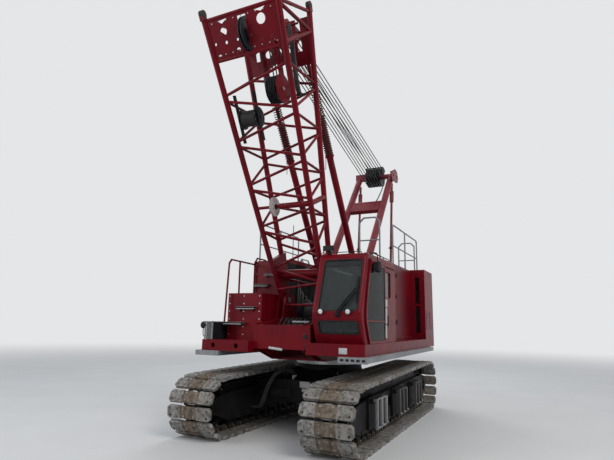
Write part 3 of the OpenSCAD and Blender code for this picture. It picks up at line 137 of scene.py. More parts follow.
class ShaderTree:
    """Small helper that wires the nodes of one material or world."""

    def __init__(self, owner: bpy.types.Material | bpy.types.World,
                 output: str = "ShaderNodeOutputMaterial") -> None:
        """Start with an empty tree.

        Args:
            owner: The new material or world.
            output: Blender's type name of its output node.
        """
        owner.use_nodes = True
        self.owner = owner
        self.tree = owner.node_tree
        self.tree.nodes.clear()
        self.output = self.node(output)
        self.coords = self.node("ShaderNodeTexCoord").outputs["Object"]

    def wire(self, source: object, socket: bpy.types.NodeSocket) -> None:
        """Feed a socket from another socket, or set its value.

        Args:
            source: A node socket, a number or a colour.
            socket: The input that takes it.
        """
        if isinstance(source, bpy.types.NodeSocket):
            self.tree.links.new(source, socket)
        else:
            socket.default_value = (*source, 1.0) if socket.type == "RGBA" else source

    def node(self, kind: str, inputs: dict[int | str, object] | None = None,
             **settings: object) -> bpy.types.Node:
        """Add a node, feed its inputs and set its properties.

        Args:
            kind: Blender's type name of the node.
            inputs: Inputs of the node and their sources.
            settings: Properties of the node and their values.

        Returns:
            The new node.
        """
        made = self.tree.nodes.new(kind)
        for key, value in settings.items():
            setattr(made, key, value)
        for key, source in (inputs or {}).items():
            self.wire(source, made.inputs[key])
        return made

    def stretched(self, scale: Point) -> bpy.types.NodeSocket:
        """Object coordinates scaled apart on each axis."""
        return self.node("ShaderNodeMapping", {"Vector": self.coords, "Scale": scale}).outputs["Vector"]

    def noise(self, scale: float, detail: float = 4.0, roughness: float = 0.55,
              vector: bpy.types.NodeSocket | None = None) -> bpy.types.NodeSocket:
        """Noise texture on object coordinates.

        Args:
            scale: Size of the pattern, in turns per metre.
            detail: Octaves of the noise.
            roughness: Weight of the finer octaves.
            vector: Other coordinates, if any.

        Returns:
            The noise value, from 0 to 1.
        """
        inputs = {"Vector": vector or self.coords, "Scale": scale, "Detail": detail, "Roughness": roughness}
        return self.node("ShaderNodeTexNoise", inputs).outputs["Fac"]

    def ramp(self, value: bpy.types.NodeSocket, low: float, high: float) -> bpy.types.NodeSocket:
        """Map a value smoothly to 0 below low and to 1 above high."""
        inputs = {"Value": value, "From Min": low, "From Max": high}
        return self.node("ShaderNodeMapRange", inputs, interpolation_type="SMOOTHSTEP").outputs["Result"]

    def calc(self, operation: str, first: object, second: object) -> bpy.types.NodeSocket:
        """One step of arithmetic on two values, held between 0 and 1."""
        made = self.node("ShaderNodeMath", {0: first, 1: second}, operation=operation, use_clamp=True)
        return made.outputs[0]

    def blend(self, share: object, first: object, second: object) -> bpy.types.NodeSocket:
        """Mix two colours, by the share of the second one that shows."""
        return self.node("ShaderNodeMix", {0: share, 6: first, 7: second}, data_type="RGBA").outputs[2]

    def direct(self) -> bpy.types.NodeSocket:
        """1 for rays that the camera, a shine or a pane of glass sends, and 0 for the light between faces."""
        path = self.node("ShaderNodeLightPath").outputs
        seen = self.calc("ADD", path["Is Camera Ray"], path["Is Glossy Ray"])
        return self.calc("ADD", seen, path["Is Transmission Ray"])

    def either(self, share: object, first: bpy.types.Node, second: bpy.types.Node) -> None:
        """Close the tree with a mix of two shaders, by the share of the second one."""
        mix = self.node("ShaderNodeMixShader", {0: share, 1: first.outputs[0], 2: second.outputs[0]})
        self.wire(mix.outputs[0], self.output.inputs["Surface"])

    def height(self) -> bpy.types.NodeSocket:
        """Height over the ground."""
        return self.node("ShaderNodeSeparateXYZ", {0: self.coords}).outputs["Z"]

    def upward(self) -> bpy.types.NodeSocket:
        """How far the surface faces up, 1 on a floor and 0 on a wall."""
        normal = self.node("ShaderNodeNewGeometry").outputs["Normal"]
        return self.node("ShaderNodeSeparateXYZ", {0: normal}).outputs["Z"]

    def edges(self, radius: float) -> bpy.types.NodeSocket:
        """How near the surface is to a sharp outer edge.

        Args:
            radius: Reach of an edge, in metres.

        Returns:
            1 on an edge and 0 away from it.
        """
        bevel = self.node("ShaderNodeBevel", {"Radius": radius}, samples=4).outputs["Normal"]
        normal = self.node("ShaderNodeNewGeometry").outputs["Normal"]
        dot = self.node("ShaderNodeVectorMath", {0: bevel, 1: normal}, operation="DOT_PRODUCT")
        return self.ramp(self.calc("SUBTRACT", 1.0, dot.outputs["Value"]), 0.02, 0.16)

    def bump(self, height: bpy.types.NodeSocket, strength: float, distance: float) -> bpy.types.NodeSocket:
        """Normal bumped by a height pattern, distance metres high and shown in part."""
        inputs = {"Strength": strength, "Distance": distance, "Height": height}
        return self.node("ShaderNodeBump", inputs).outputs["Normal"]

    def surface(self, **sockets: object) -> bpy.types.Node:
        """Close the tree with a principled shader.

        Args:
            sockets: Socket names, with _ for a space, and their sources.

        Returns:
            The shader node.
        """
        inputs = {key.replace("_", " "): source for key, source in sockets.items()}
        shader = self.node("ShaderNodeBsdfPrincipled", inputs)
        self.wire(shader.outputs[0], self.output.inputs["Surface"])
        return shader


@dataclass(frozen=True)
class Coating:
    """A finish as it weathers: its colour, the metal under it, and the dust, chips and grime on it.

    Attributes:
        colour: Colour of the coating.
        shade: Second colour that large patches drift to.
        under: Colour that shows where the coating is worn off.
        metallic: 1 for bare metal.
        roughness: Roughness of a clean patch.
        spread: How far the roughness varies.
        dust: Share of dust on faces that look up and near the ground.
        chips: Share of worn edges and chips.
        grain: Turns per metre of the fine bump.
        depth: Height of the fine bump in metres.
        coat: Clear gloss over the coating.
        specular: Strength of the shine, half is that of plain paint.
        mottle: Share of dark dirt caked on in hand-sized patches.
    """

    colour: Colour
    shade: Colour
    under: Colour = (0.10, 0.07, 0.06)
    metallic: float = 0.0
    roughness: float = 0.4
    spread: float = 0.2
    dust: float = 0.3
    chips: float = 0.3
    grain: float = 60.0
    depth: float = 0.0004
    coat: float = 0.0
    specular: float = 0.35
    mottle: float = 0.0

    def build(self, name: str) -> bpy.types.Material:
        """Make the material.

        Args:
            name: Name of the material.

        Returns:
            The finished material.
        """
        tree = ShaderTree(bpy.data.materials.new(name))
        patches = tree.ramp(tree.noise(1.3, 5.0, 0.6), 0.35, 0.7)
        colour = tree.blend(patches, self.colour, self.shade)
        streaks = tree.ramp(tree.noise(1.0, 5.0, 0.6, tree.stretched((9.0, 9.0, 0.8))), 0.5, 0.78)
        grime = tuple(0.45 * value for value in self.shade)
        colour = tree.blend(tree.calc("MULTIPLY", streaks, 0.45), colour, grime)
        chips = tree.ramp(tree.noise(34.0, 6.0, 0.7), 0.56, 0.66)
        worn = tree.calc("MULTIPLY", tree.edges(0.012), tree.calc("ADD", chips, 0.35))
        specks = tree.ramp(tree.noise(11.0, 8.0, 0.75), 0.70, 0.76)
        worn = tree.calc("MULTIPLY", tree.calc("ADD", worn, specks), self.chips)
        colour = tree.blend(worn, colour, self.under)
        if self.mottle:
            caked = tree.ramp(tree.noise(13.0, 7.0, 0.72), 0.44, 0.60)
            colour = tree.blend(tree.calc("MULTIPLY", caked, self.mottle), colour, CAKED_DIRT)
        lying = tree.calc("MULTIPLY", tree.ramp(tree.upward(), 0.3, 0.95), 0.75)
        low = tree.calc("SUBTRACT", 1.0, tree.ramp(tree.height(), 0.1, 1.5))
        settled = tree.calc("ADD", lying, tree.calc("MULTIPLY", low, 0.6))
        drift = tree.ramp(tree.noise(5.0, 6.0, 0.65), 0.3, 0.75)
        dust = tree.calc("MULTIPLY", tree.calc("MULTIPLY", settled, drift), self.dust)
        colour = tree.blend(dust, colour, DUST)
        rough = tree.calc("ADD", tree.calc("MULTIPLY", tree.noise(7.0, 5.0), self.spread),
                          self.roughness - self.spread / 2)
        rough = tree.calc("ADD", rough, tree.calc("MULTIPLY", dust, 0.5))
        normal = tree.bump(tree.noise(self.grain, 3.0), 0.5, self.depth)
        tree.surface(Base_Color=colour, Roughness=rough, Metallic=self.metallic, Normal=normal,
                     Specular_IOR_Level=self.specular, Coat_Weight=self.coat, Coat_Roughness=0.12)
        return tree.owner


@dataclass(frozen=True)
class Glazing:
    """Tinted glass with a little dust.

    Attributes:
        tint: Colour of the glass.
        clear: How much light passes.
        roughness: Roughness of a clean pane.
        bend: Index that sets how strongly the pane mirrors.
    """

    tint: Colour = (0.23, 0.275, 0.27)
    clear: float = 0.90
    roughness: float = 0.03
    bend: float = 1.30

    def build(self, name: str) -> bpy.types.Material:
        """Make the material.

        Args:
            name: Name of the material.

        Returns:
            The finished material.
        """
        tree = ShaderTree(bpy.data.materials.new(name))
        dust = tree.ramp(tree.noise(6.0, 6.0, 0.7), 0.45, 0.8)
        colour = tree.blend(tree.calc("MULTIPLY", dust, 0.25), self.tint, PANE_DUST)
        rough = tree.calc("ADD", tree.calc("MULTIPLY", dust, 0.12), self.roughness)
        tree.surface(Base_Color=colour, Roughness=rough, IOR=self.bend, Transmission_Weight=self.clear,
                     Normal=tree.bump(tree.noise(2.0, 2.0), 0.15, 0.0005))
        return tree.owner


COATINGS: dict[Finish, Coating | Glazing] = {
    Finish.RED_PAINT: Coating((0.160, 0.0025, 0.008), (0.105, 0.0025, 0.008), under=(0.13, 0.05, 0.05),
                              roughness=0.38, spread=0.16, dust=0.035, chips=0.25, coat=0.04, specular=0.12),
    Finish.BLACK_PAINT: Coating((0.005, 0.005, 0.007), (0.008, 0.008, 0.009), under=(0.04, 0.032, 0.028),
                                roughness=0.5, dust=0.05, chips=0.2, specular=0.15),
    Finish.WINCH_PAINT: Coating((0.012, 0.013, 0.017), (0.019, 0.019, 0.023), under=(0.09, 0.09, 0.09),
                                roughness=0.42, dust=0.12, chips=0.35, specular=0.22),
    Finish.SHOE_STEEL: Coating((0.300, 0.292, 0.280), (0.205, 0.182, 0.155), under=(0.50, 0.49, 0.47),
                               metallic=0.3, roughness=0.62, spread=0.3, dust=0.2, chips=0.9,
                               grain=40.0, depth=0.002, specular=0.3, mottle=0.62),
    Finish.SHOE_RUST: Coating((0.185, 0.130, 0.088), (0.200, 0.168, 0.135), under=(0.34, 0.31, 0.28),
                              metallic=0.2, roughness=0.75, spread=0.25, dust=0.2, chips=0.6,
                              grain=34.0, depth=0.003, specular=0.2, mottle=0.6),
    Finish.CHAIN: Coating((0.024, 0.021, 0.019), (0.045, 0.036, 0.028), under=(0.12, 0.11, 0.10),
                          metallic=0.3, roughness=0.6, spread=0.3, dust=0.2, chips=0.3, grain=46.0,
                          depth=0.001, specular=0.25),
    Finish.PIN_STEEL: Coating((0.42, 0.42, 0.43), (0.30, 0.30, 0.31), metallic=0.9, roughness=0.35, dust=0.2,
                              chips=0.2),
    Finish.WALKWAY: Coating((0.27, 0.275, 0.285), (0.20, 0.20, 0.21), under=(0.45, 0.45, 0.45), metallic=0.2,
                            roughness=0.5, dust=0.25, chips=0.3, grain=90.0, mottle=0.15),
    Finish.RUBBER: Coating((0.013, 0.013, 0.014), (0.020, 0.020, 0.021), under=(0.05, 0.05, 0.05),
                           roughness=0.7, dust=0.15, chips=0.1, grain=120.0, specular=0.2),
    Finish.HOSE: Coating((0.040, 0.040, 0.042), (0.060, 0.060, 0.062), under=(0.12, 0.12, 0.12), roughness=0.42,
                         dust=0.25, chips=0.3, grain=140.0),
    Finish.CLOTH: Coating((0.028, 0.029, 0.034), (0.04, 0.04, 0.045), roughness=0.9, spread=0.1, dust=0.1,
                          chips=0.0, grain=420.0, depth=0.0008),
    Finish.ENGINE: Coating((0.16, 0.17, 0.18), (0.08, 0.08, 0.08), metallic=0.3, roughness=0.55, dust=0.4),
    Finish.ROPE: Coating((0.034, 0.034, 0.036), (0.060, 0.057, 0.053), metallic=0.4, roughness=0.55, dust=0.08,
                         chips=0.2, grain=260.0, depth=0.0015, specular=0.25),
    Finish.CREAM: Coating((0.46, 0.40, 0.38), (0.36, 0.28, 0.27), under=(0.2, 0.12, 0.1), roughness=0.55,
                          dust=0.3, chips=0.5),
    Finish.LENS: Coating((0.72, 0.74, 0.74), (0.6, 0.62, 0.62), roughness=0.15, dust=0.1, chips=0.0, coat=0.6),
    Finish.MIRROR: Coating((0.5, 0.52, 0.53), (0.45, 0.46, 0.47), metallic=1.0, roughness=0.08, spread=0.04,
                           dust=0.05, chips=0.0),
    Finish.PLATE: Coating((0.50, 0.51, 0.51), (0.42, 0.42, 0.42), roughness=0.4, dust=0.25, chips=0.2),
    Finish.TRIM: Coating((0.022, 0.023, 0.025), (0.030, 0.031, 0.033), roughness=0.75, dust=0.10, chips=0.05,
                         grain=160.0, specular=0.2),
    Finish.GLASS: Glazing(),
    # Lighter, pinker red for the gantry: a painted sheen, the reflection of a pale sky painted into the paint.
    Finish.FADED_RED: Coating((0.200, 0.026, 0.036), (0.145, 0.010, 0.018), under=(0.20, 0.10, 0.10),
                              roughness=0.42, spread=0.16, dust=0.06, chips=0.4, coat=0.04, specular=0.25),
    Finish.DOOR_GLASS: Glazing(tint=(0.085, 0.102, 0.105), clear=0.92, bend=1.10),
    Finish.DULL_STEEL: Coating((0.060, 0.060, 0.062), (0.095, 0.090, 0.085), under=(0.25, 0.25, 0.25),
                               metallic=0.3, roughness=0.55, dust=0.2, chips=0.5, mottle=0.4, specular=0.3),
}


class Paintshop:
    """Makes each finish once and hands it out."""

    def __init__(self) -> None:
        """Start with no finish made."""
        self.made: dict[Finish, bpy.types.Material] = {}

    def get(self, finish: Finish) -> bpy.types.Material:
        """Material of a finish.

        Args:
            finish: The finish that is wanted.

        Returns:
            Its material, made at the first call.
        """
        if finish not in self.made:
            self.made[finish] = COATINGS[finish].build(finish.value)
        return self.made[finish]

    def dress(self, finish: Finish, *nodes: str) -> None:
        """Give CAD nodes their finish.

        Args:
            finish: The finish they take.
            nodes: Names of the nodes.
        """
        for name in nodes:
            mesh = bpy.data.objects[name].data
            mesh.materials.clear()
            mesh.materials.append(self.get(finish))


def spaced(start: float, step: float, count: int) -> list[float]:
    """Places at even steps."""
    return [start + step * k for k in range(count)]


def upright(radius: float, angle: float) -> Vector:
    """Point of a circle about the Y axis."""
    return Vector((radius * math.cos(angle), 0.0, radius * math.sin(angle)))


def mirrored(*half: Pair, middle: Sequence[Pair] = ()) -> list[Pair]:
    """Profile that is alike on both sides, given from its outer end inwards."""
    return [*((-along, radius) for along, radius in half), *middle, *reversed(half)]


def square_to(line: Vector) -> Vector:
    """Unit vector square to a line, level where that is not upright."""
    helper = Axis.Z.vector if abs(line.z) < 0.9 else Axis.X.vector
    return line.cross(helper).normalized()


class Workpiece:
    """One mesh under construction, made of closed shells."""

    def __init__(self, name: str, shop: Paintshop, finish: Finish, shift: float = 0.0) -> None:
        """Start an empty mesh.

        Args:
            name: Name of the piece.
            shop: Where its finishes come from.
            finish: Finish of the shells that name no other.
            shift: Place along X of the point that it is drawn from.
        """
        self.name = name
        self.shop = shop
        self.finish = finish
        self.shift = shift
        self.mesh = bmesh.new()
        self.finishes: list[Finish] = []

    def _at(self, point: Point) -> Vector:
        """Place in the frame of a point, given from where the piece is drawn from."""
        return Vector((self.shift + point[0], point[1], point[2]))

    def _paint(self, faces: Iterable[bmesh.types.BMFace], finish: Finish | None, smooth: bool) -> None:
        """Give faces a finish and shading."""
        finish = finish or self.finish
        if finish not in self.finishes:
            self.finishes.append(finish)
        for face in faces:
            face.material_index = self.finishes.index(finish)
            face.smooth = smooth

    def rings(self, rings: Sequence[Sequence[Point]], closed: bool = False, smooth: bool = True,
              finish: Finish | None = None) -> None:
        """Skin a row of rings of equal count.

        Args:
            rings: The rings, each a closed loop of points.
            closed: Whether the last ring joins the first, instead of two end caps.
            smooth: Whether the skin is shaded smooth.
            finish: Finish of the shell, if not the piece's own.
        """
        self._skin([[self._at(point) for point in ring] for ring in rings], closed, smooth, finish)

    def _skin(self, rings: Sequence[Sequence[Vector]], closed: bool, smooth: bool,
              finish: Finish | None) -> None:
        """Skin rings that are already placed in the frame."""
        rows = [[self.mesh.verts.new(point) for point in ring] for ring in rings]
        count = len(rows[0])
        faces = []
        for a, b in zip(rows, rows[1:] + rows[:1] if closed else rows[1:]):
            for k in range(count):
                faces.append(self.mesh.faces.new((a[k], a[(k + 1) % count], b[(k + 1) % count], b[k])))
        self._paint(faces, finish, smooth)
        if not closed:
            caps = [self.mesh.faces.new(list(reversed(rows[0]))), self.mesh.faces.new(rows[-1])]
            self._paint(caps, finish, False)

    def prism(self, outline: Sequence[Point], depth: Point, finish: Finish | None = None) -> None:
        """Extrude a closed outline.

        Args:
            outline: Corners of the flat outline.
            depth: The move from the first to the second face.
            finish: Finish of the shell, if not the piece's own.
        """
        self._extrude([self._at(point) for point in outline], depth, finish)

    def _extrude(self, foot: Sequence[Vector], depth: Point, finish: Finish | None) -> None:
        """Close an outline that is already placed with its moved copy."""
        move = Vector(depth)
        self._skin([foot, [corner + move for corner in foot]], False, False, finish)

    def louvre(self, foot: Point, out: Point, run: Point, lip: float = 0.5,
               finish: Finish | None = None) -> None:
        """Sloped blade of a louvre on an upright wall.

        Args:
            foot: Lower end of its first edge, on the wall.
            out: How far it stands out from the wall.
            run: The move along the blade.
            lip: Share of the stand-out that is left at its top edge.
            finish: Finish of the blade, if not the piece's own.
        """
        foot, out, up = Vector(foot), Vector(out), Axis.Z.vector
        edge = [foot, foot + out + 0.006 * up, foot + lip * out + 0.030 * up, foot + 0.036 * up]
        self.prism(edge, run, finish)

    def slab(self, outline: Sequence[Pair], low: float, high: float, edge: float,
             finish: Finish | None = None) -> None:
        """Flat plate with a chamfer round its top.

        Args:
            outline: Corners along X and Y.
            low: Height of its underside.
            high: Height of its top.
            edge: Width of the chamfer.
            finish: Finish of the plate, if not the piece's own.
        """
        xs, ys = [p[0] for p in outline], [p[1] for p in outline]
        middle = ((min(xs) + max(xs)) / 2, (min(ys) + max(ys)) / 2)
        share = (1 - 2 * edge / (max(xs) - min(xs)), 1 - 2 * edge / (max(ys) - min(ys)))
        top = [[m + (c - m) * k for c, m, k in zip(corner, middle, share)] for corner in outline]
        self.rings([[(x, y, low) for x, y in outline], [(x, y, high - edge) for x, y in outline],
                    [(x, y, high) for x, y in top]], smooth=False, finish=finish)

    def pillow(self, top: Sequence[Sequence[Point]], bottom: Sequence[Sequence[Point]]) -> None:
        """Close two grids of points that share their rim.

        Args:
            top: Rows of the upper grid.
            bottom: Rows of the lower grid.
        """
        last, end = len(top) - 1, len(top[0]) - 1
        upper = [[self.mesh.verts.new(self._at(point)) for point in row] for row in top]
        lower = [[upper[i][j] if i in (0, last) or j in (0, end) else self.mesh.verts.new(self._at(point))
                  for j, point in enumerate(row)] for i, row in enumerate(bottom)]
        faces = []
        for grid in (upper, lower):
            for i in range(last):
                for j in range(end):
                    corners = [grid[i][j], grid[i + 1][j], grid[i + 1][j + 1], grid[i][j + 1]]
                    faces.append(self.mesh.faces.new(corners if grid is upper else corners[::-1]))
        self._paint(faces, None, True)

    def block(self, low: Point, high: Point, finish: Finish | None = None) -> None:
        """Box between two opposite corners.

        Args:
            low: Lowest corner.
            high: Highest corner.
            finish: Finish of the box, if not the piece's own.
        """
        (x0, y0, z0), (x1, y1, z1) = self._at(low), self._at(high)
        foot = [Vector((x, y, z0)) for x, y in ((x0, y0), (x1, y0), (x1, y1), (x0, y1))]
        self._extrude(foot, (0, 0, z1 - z0), finish)

    def tube(self, path: Sequence[Point], radius: float, sides: int = 12, finish: Finish | None = None,
             closed: bool = False) -> None:
        """Round tube along a path.

        Args:
            path: Points of the tube's middle line.
            radius: Radius of the tube.
            sides: Corners of its section.
            finish: Finish of the tube, if not the piece's own.
            closed: Whether the path is a loop.
        """
        points = [Vector(point) for point in path]
        count = len(points)
        normal = None
        rows = []
        for k, point in enumerate(points):
            ahead = points[(k + 1) % count] if closed or k + 1 < count else point
            back = points[k - 1] if closed or k else point
            tangent = (ahead - back).normalized()
            if normal is None:
                normal = square_to(tangent)
            normal = (normal - tangent * normal.dot(tangent)).normalized()
            side = tangent.cross(normal)
            rows.append([point + radius * (math.cos(a) * normal + math.sin(a) * side)
                         for a in (math.tau * i / sides for i in range(sides))])
        self.rings(rows, closed, finish=finish)

    def rod(self, start: Point, end: Point, radius: float, sides: int = 16,
            finish: Finish | None = None) -> None:
        """Straight round rod between the middles of its ends."""
        self.tube([start, end], radius, sides, finish)

    def lathe(self, centre: Point, axis: Axis | Vector, profile: Sequence[Pair], sides: int = 32,
              finish: Finish | None = None) -> None:
        """Turned shape about an axis.

        Args:
            centre: Point on the axis where the profile's first number is 0.
            axis: Direction of the axis.
            profile: Pairs of place along the axis and radius.
            sides: Corners of its section.
            finish: Finish of the shape, if not the piece's own.
        """
        if isinstance(axis, Axis):
            axis = axis.vector
        first = square_to(axis)
        second = axis.cross(first)
        turns = [math.tau * i / sides for i in range(sides)]
        around = [math.cos(a) * first + math.sin(a) * second for a in turns]
        self.rings([[Vector(centre) + axis * along + max(radius, 0.0005) * out for out in around]
                    for along, radius in profile], finish=finish)

    def solid(self, bevel: float = 0.0) -> bpy.types.Object:
        """Close the mesh and make it an object.

        Args:
            bevel: Width of its rounded edges.

        Returns:
            The object, which rides on nothing yet.
        """
        bmesh.ops.recalc_face_normals(self.mesh, faces=self.mesh.faces)
        data = bpy.data.meshes.new(self.name)
        self.mesh.to_mesh(data)
        self.mesh.free()
        for finish in self.finishes:
            data.materials.append(self.shop.get(finish))
        piece = bpy.data.objects.new(self.name, data)
        bpy.context.scene.collection.objects.link(piece)
        if bevel:
            modifier = piece.modifiers.new("rounded edges", "BEVEL")
            modifier.width = bevel
            modifier.segments = 2
            modifier.limit_method = "ANGLE"
            modifier.angle_limit = math.radians(40)
            modifier.harden_normals = False
            bake_modifiers(piece)
            for polygon in piece.data.polygons:
                polygon.use_smooth = True
        piece.data.set_sharp_from_angle(angle=math.radians(38))
        return piece

    def place(self, body: str, slot: str, bevel: float = 0.0, replaces: Sequence[str] = ()) -> bpy.types.Object:
        """Close the mesh and put it on its body.

        Args:
            body: CAD body that it rides on.
            slot: Material slot of the record; not used.
            bevel: Width of its rounded edges.
            replaces: CAD nodes that it stands for.

        Returns:
            The finished object.
        """
        return hang(self.solid(bevel), body, replaces)


def bake_modifiers(piece: bpy.types.Object) -> None:
    """Turn a piece's modifiers into plain mesh.

    Args:
        piece: The piece, whose modifiers are removed.
    """
    graph = bpy.context.evaluated_depsgraph_get()
    graph.update()
    data = bpy.data.meshes.new_from_object(piece.evaluated_get(graph), depsgraph=graph)
    old = piece.data
    piece.modifiers.clear()
    piece.data = data
    data.name = piece.name
    bpy.data.meshes.remove(old)


def hang(piece: bpy.types.Object, body: str, replaces: Sequence[str] = ()) -> bpy.types.Object:
    """Make a piece ride on its body and hide the CAD nodes that it stands for.

    Args:
        piece: The finished object.
        body: CAD body that it rides on.
        replaces: CAD nodes that it stands for.

    Returns:
        The same object.
    """
    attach(piece, body)
    if replaces:
        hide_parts(*replaces)
    LOG.info("%s rides on %s, %d faces", piece.name, body, len(piece.data.polygons))
    return piece


@dataclass
class Site:
    """Places that every sub-assembly works from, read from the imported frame.

    Attributes:
        slew_x: Place of the slew centre along X.
        foot: Middle of the boom's foot pins, from the slew centre.
        rise: Angle of the boom over level, in radians.
        width: Half the boom's width at its foot, and its growth along the boom.
        depth: The same of its depth.
    """

    frame: dict
    slew_x: float = field(init=False)
    foot: Vector = field(init=False)
    rise: float = field(init=False)
    width: Pair = (0.5, 0.04504)
    depth: Pair = (0.155, 0.09007)

    def __post_init__(self) -> None:
        """Read the places from the frame."""
        low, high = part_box("slew_ring")
        self.slew_x = (low.x + high.x) / 2
        luff = next(joint for joint in self.frame["joints"] if joint["name"] == "boom_luff")
        x, y, z = luff["pos_m"]
        self.foot = Vector((x - self.slew_x, y, z))
        self.rise = math.radians(-luff["range_deg"][0])

    def at(self, x: float, y: float, z: float) -> tuple[float, float, float]:
        """Place in the frame of a point given from the slew centre."""
        return self.slew_x + x, y, z

    def on_boom(self, along: float, side: float, back: float) -> Vector:
        """Point on the boom: along it from its foot, to its left, and to its rear face."""
        c, s = math.cos(self.rise), math.sin(self.rise)
        return self.foot + Vector((along * c - back * s, side, along * s + back * c))

    def half(self, along: float) -> Pair:
        """Half the boom's width and depth between its chords' middles."""
        return self.width[0] + self.width[1] * along, self.depth[0] + self.depth[1] * along

    def chord(self, along: float, side: int, back: int) -> Vector:
        """Point on one of the boom's four chords."""
        width, depth = self.half(along)
        return self.on_boom(along, side * width, back * depth)


@dataclass
class Assembly:
    """A sub-assembly, whose points are all given from the slew centre on the ground.

    Attributes:
        site: The crane's places.
        shop: Finishes.
    """

    site: Site
    shop: Paintshop

    def start(self, name: str, finish: Finish) -> Workpiece:
        """Begin a piece that has one finish for the most part."""
        return Workpiece(name, self.shop, finish, self.site.slew_x)


class Pattern:
    """One small shape that Geometry Nodes sets down at many places."""

    def __init__(self, shape: Workpiece, shift: float) -> None:
        """Start with no place.

        Args:
            shape: The shape, drawn about its own origin.
            shift: Place along X of the point that the places are given from.
        """
        self.shape = shape
        self.shift = shift
        self.places: list[Point] = []
        self.turns: list[tuple[float, float, float]] = []

    def add(self, place: Point, turn: tuple[float, float, float] = (0.0, 0.0, 0.0)) -> None:
        """Note one more place.

        Args:
            place: Where the shape's origin goes.
            turn: Its Euler angles about X, Y and Z, in radians.
        """
        self.places.append((self.shift + place[0], place[1], place[2]))
        self.turns.append(turn)

    def _tree(self) -> tuple[bpy.types.NodeTree, str, str]:
        """Build the tree, and name its inputs for the shape and its size."""
        tree = bpy.data.node_groups.new(self.shape.name + "_pattern", "GeometryNodeTree")
        face = tree.interface
        face.new_socket("Places", in_out="INPUT", socket_type="NodeSocketGeometry")
        shape = face.new_socket("Shape", in_out="INPUT", socket_type="NodeSocketObject").identifier
        size = face.new_socket("Size", in_out="INPUT", socket_type="NodeSocketFloat").identifier
        face.new_socket("Pieces", in_out="OUTPUT", socket_type="NodeSocketGeometry")
        add, link = tree.nodes.new, tree.links.new
        start, end = add("NodeGroupInput"), add("NodeGroupOutput")
        source = add("GeometryNodeObjectInfo")
        link(start.outputs["Shape"], source.inputs["Object"])
        turn = add("GeometryNodeInputNamedAttribute")
        turn.data_type = "FLOAT_VECTOR"
        turn.inputs["Name"].default_value = "turn"
        spin = add("FunctionNodeEulerToRotation")
        link(turn.outputs["Attribute"], spin.inputs["Euler"])
        spread = add("GeometryNodeInstanceOnPoints")
        link(start.outputs["Places"], spread.inputs["Points"])
        link(source.outputs["Geometry"], spread.inputs["Instance"])
        link(spin.outputs["Rotation"], spread.inputs["Rotation"])
        link(start.outputs["Size"], spread.inputs["Scale"])
        real = add("GeometryNodeRealizeInstances")
        link(spread.outputs["Instances"], real.inputs["Geometry"])
        flow = real.outputs["Geometry"]
        for number, finish in enumerate(self.shape.finishes):
            kind = add("GeometryNodeInputNamedAttribute")
            kind.data_type = "INT"
            kind.inputs["Name"].default_value = "finish"
            match = add("FunctionNodeCompare")
            match.data_type = "INT"
            match.operation = "EQUAL"
            match.inputs[3].default_value = number
            link(kind.outputs["Attribute"], match.inputs[2])
            coat = add("GeometryNodeSetMaterial")
            coat.inputs["Material"].default_value = self.shape.shop.get(finish)
            link(flow, coat.inputs["Geometry"])
            link(match.outputs["Result"], coat.inputs["Selection"])
            flow = coat.outputs["Geometry"]
        link(flow, end.inputs["Pieces"])
        return tree, shape, size

    def place(self, body: str, slot: str, replaces: Sequence[str] = (), size: float = 1.0) -> bpy.types.Object:
        """Set the shape down everywhere and put the result on its body.

        Args:
            body: CAD body that it rides on.
            slot: Material slot of the record; not used.
            replaces: CAD nodes that it stands for.
            size: Scale of the shape.

        Returns:
            The finished object.
        """
        source = self.shape.solid()
        marks = source.data.attributes.new("finish", "INT", "FACE")
        for polygon in source.data.polygons:
            marks.data[polygon.index].value = polygon.material_index
        data = bpy.data.meshes.new(self.shape.name)
        data.from_pydata(self.places, [], [])
        turns = data.attributes.new("turn", "FLOAT_VECTOR", "POINT")
        for index, turn in enumerate(self.turns):
            turns.data[index].vector = turn
        piece = bpy.data.objects.new(self.shape.name, data)
        bpy.context.scene.collection.objects.link(piece)
        tree, shape_id, size_id = self._tree()
        modifier = piece.modifiers.new("pattern", "NODES")
        modifier.node_group = tree
        modifier[shape_id] = source
        modifier[size_id] = size
        bake_modifiers(piece)
        bpy.data.objects.remove(source)
        piece.name = self.shape.name
        return hang(piece, body, replaces)


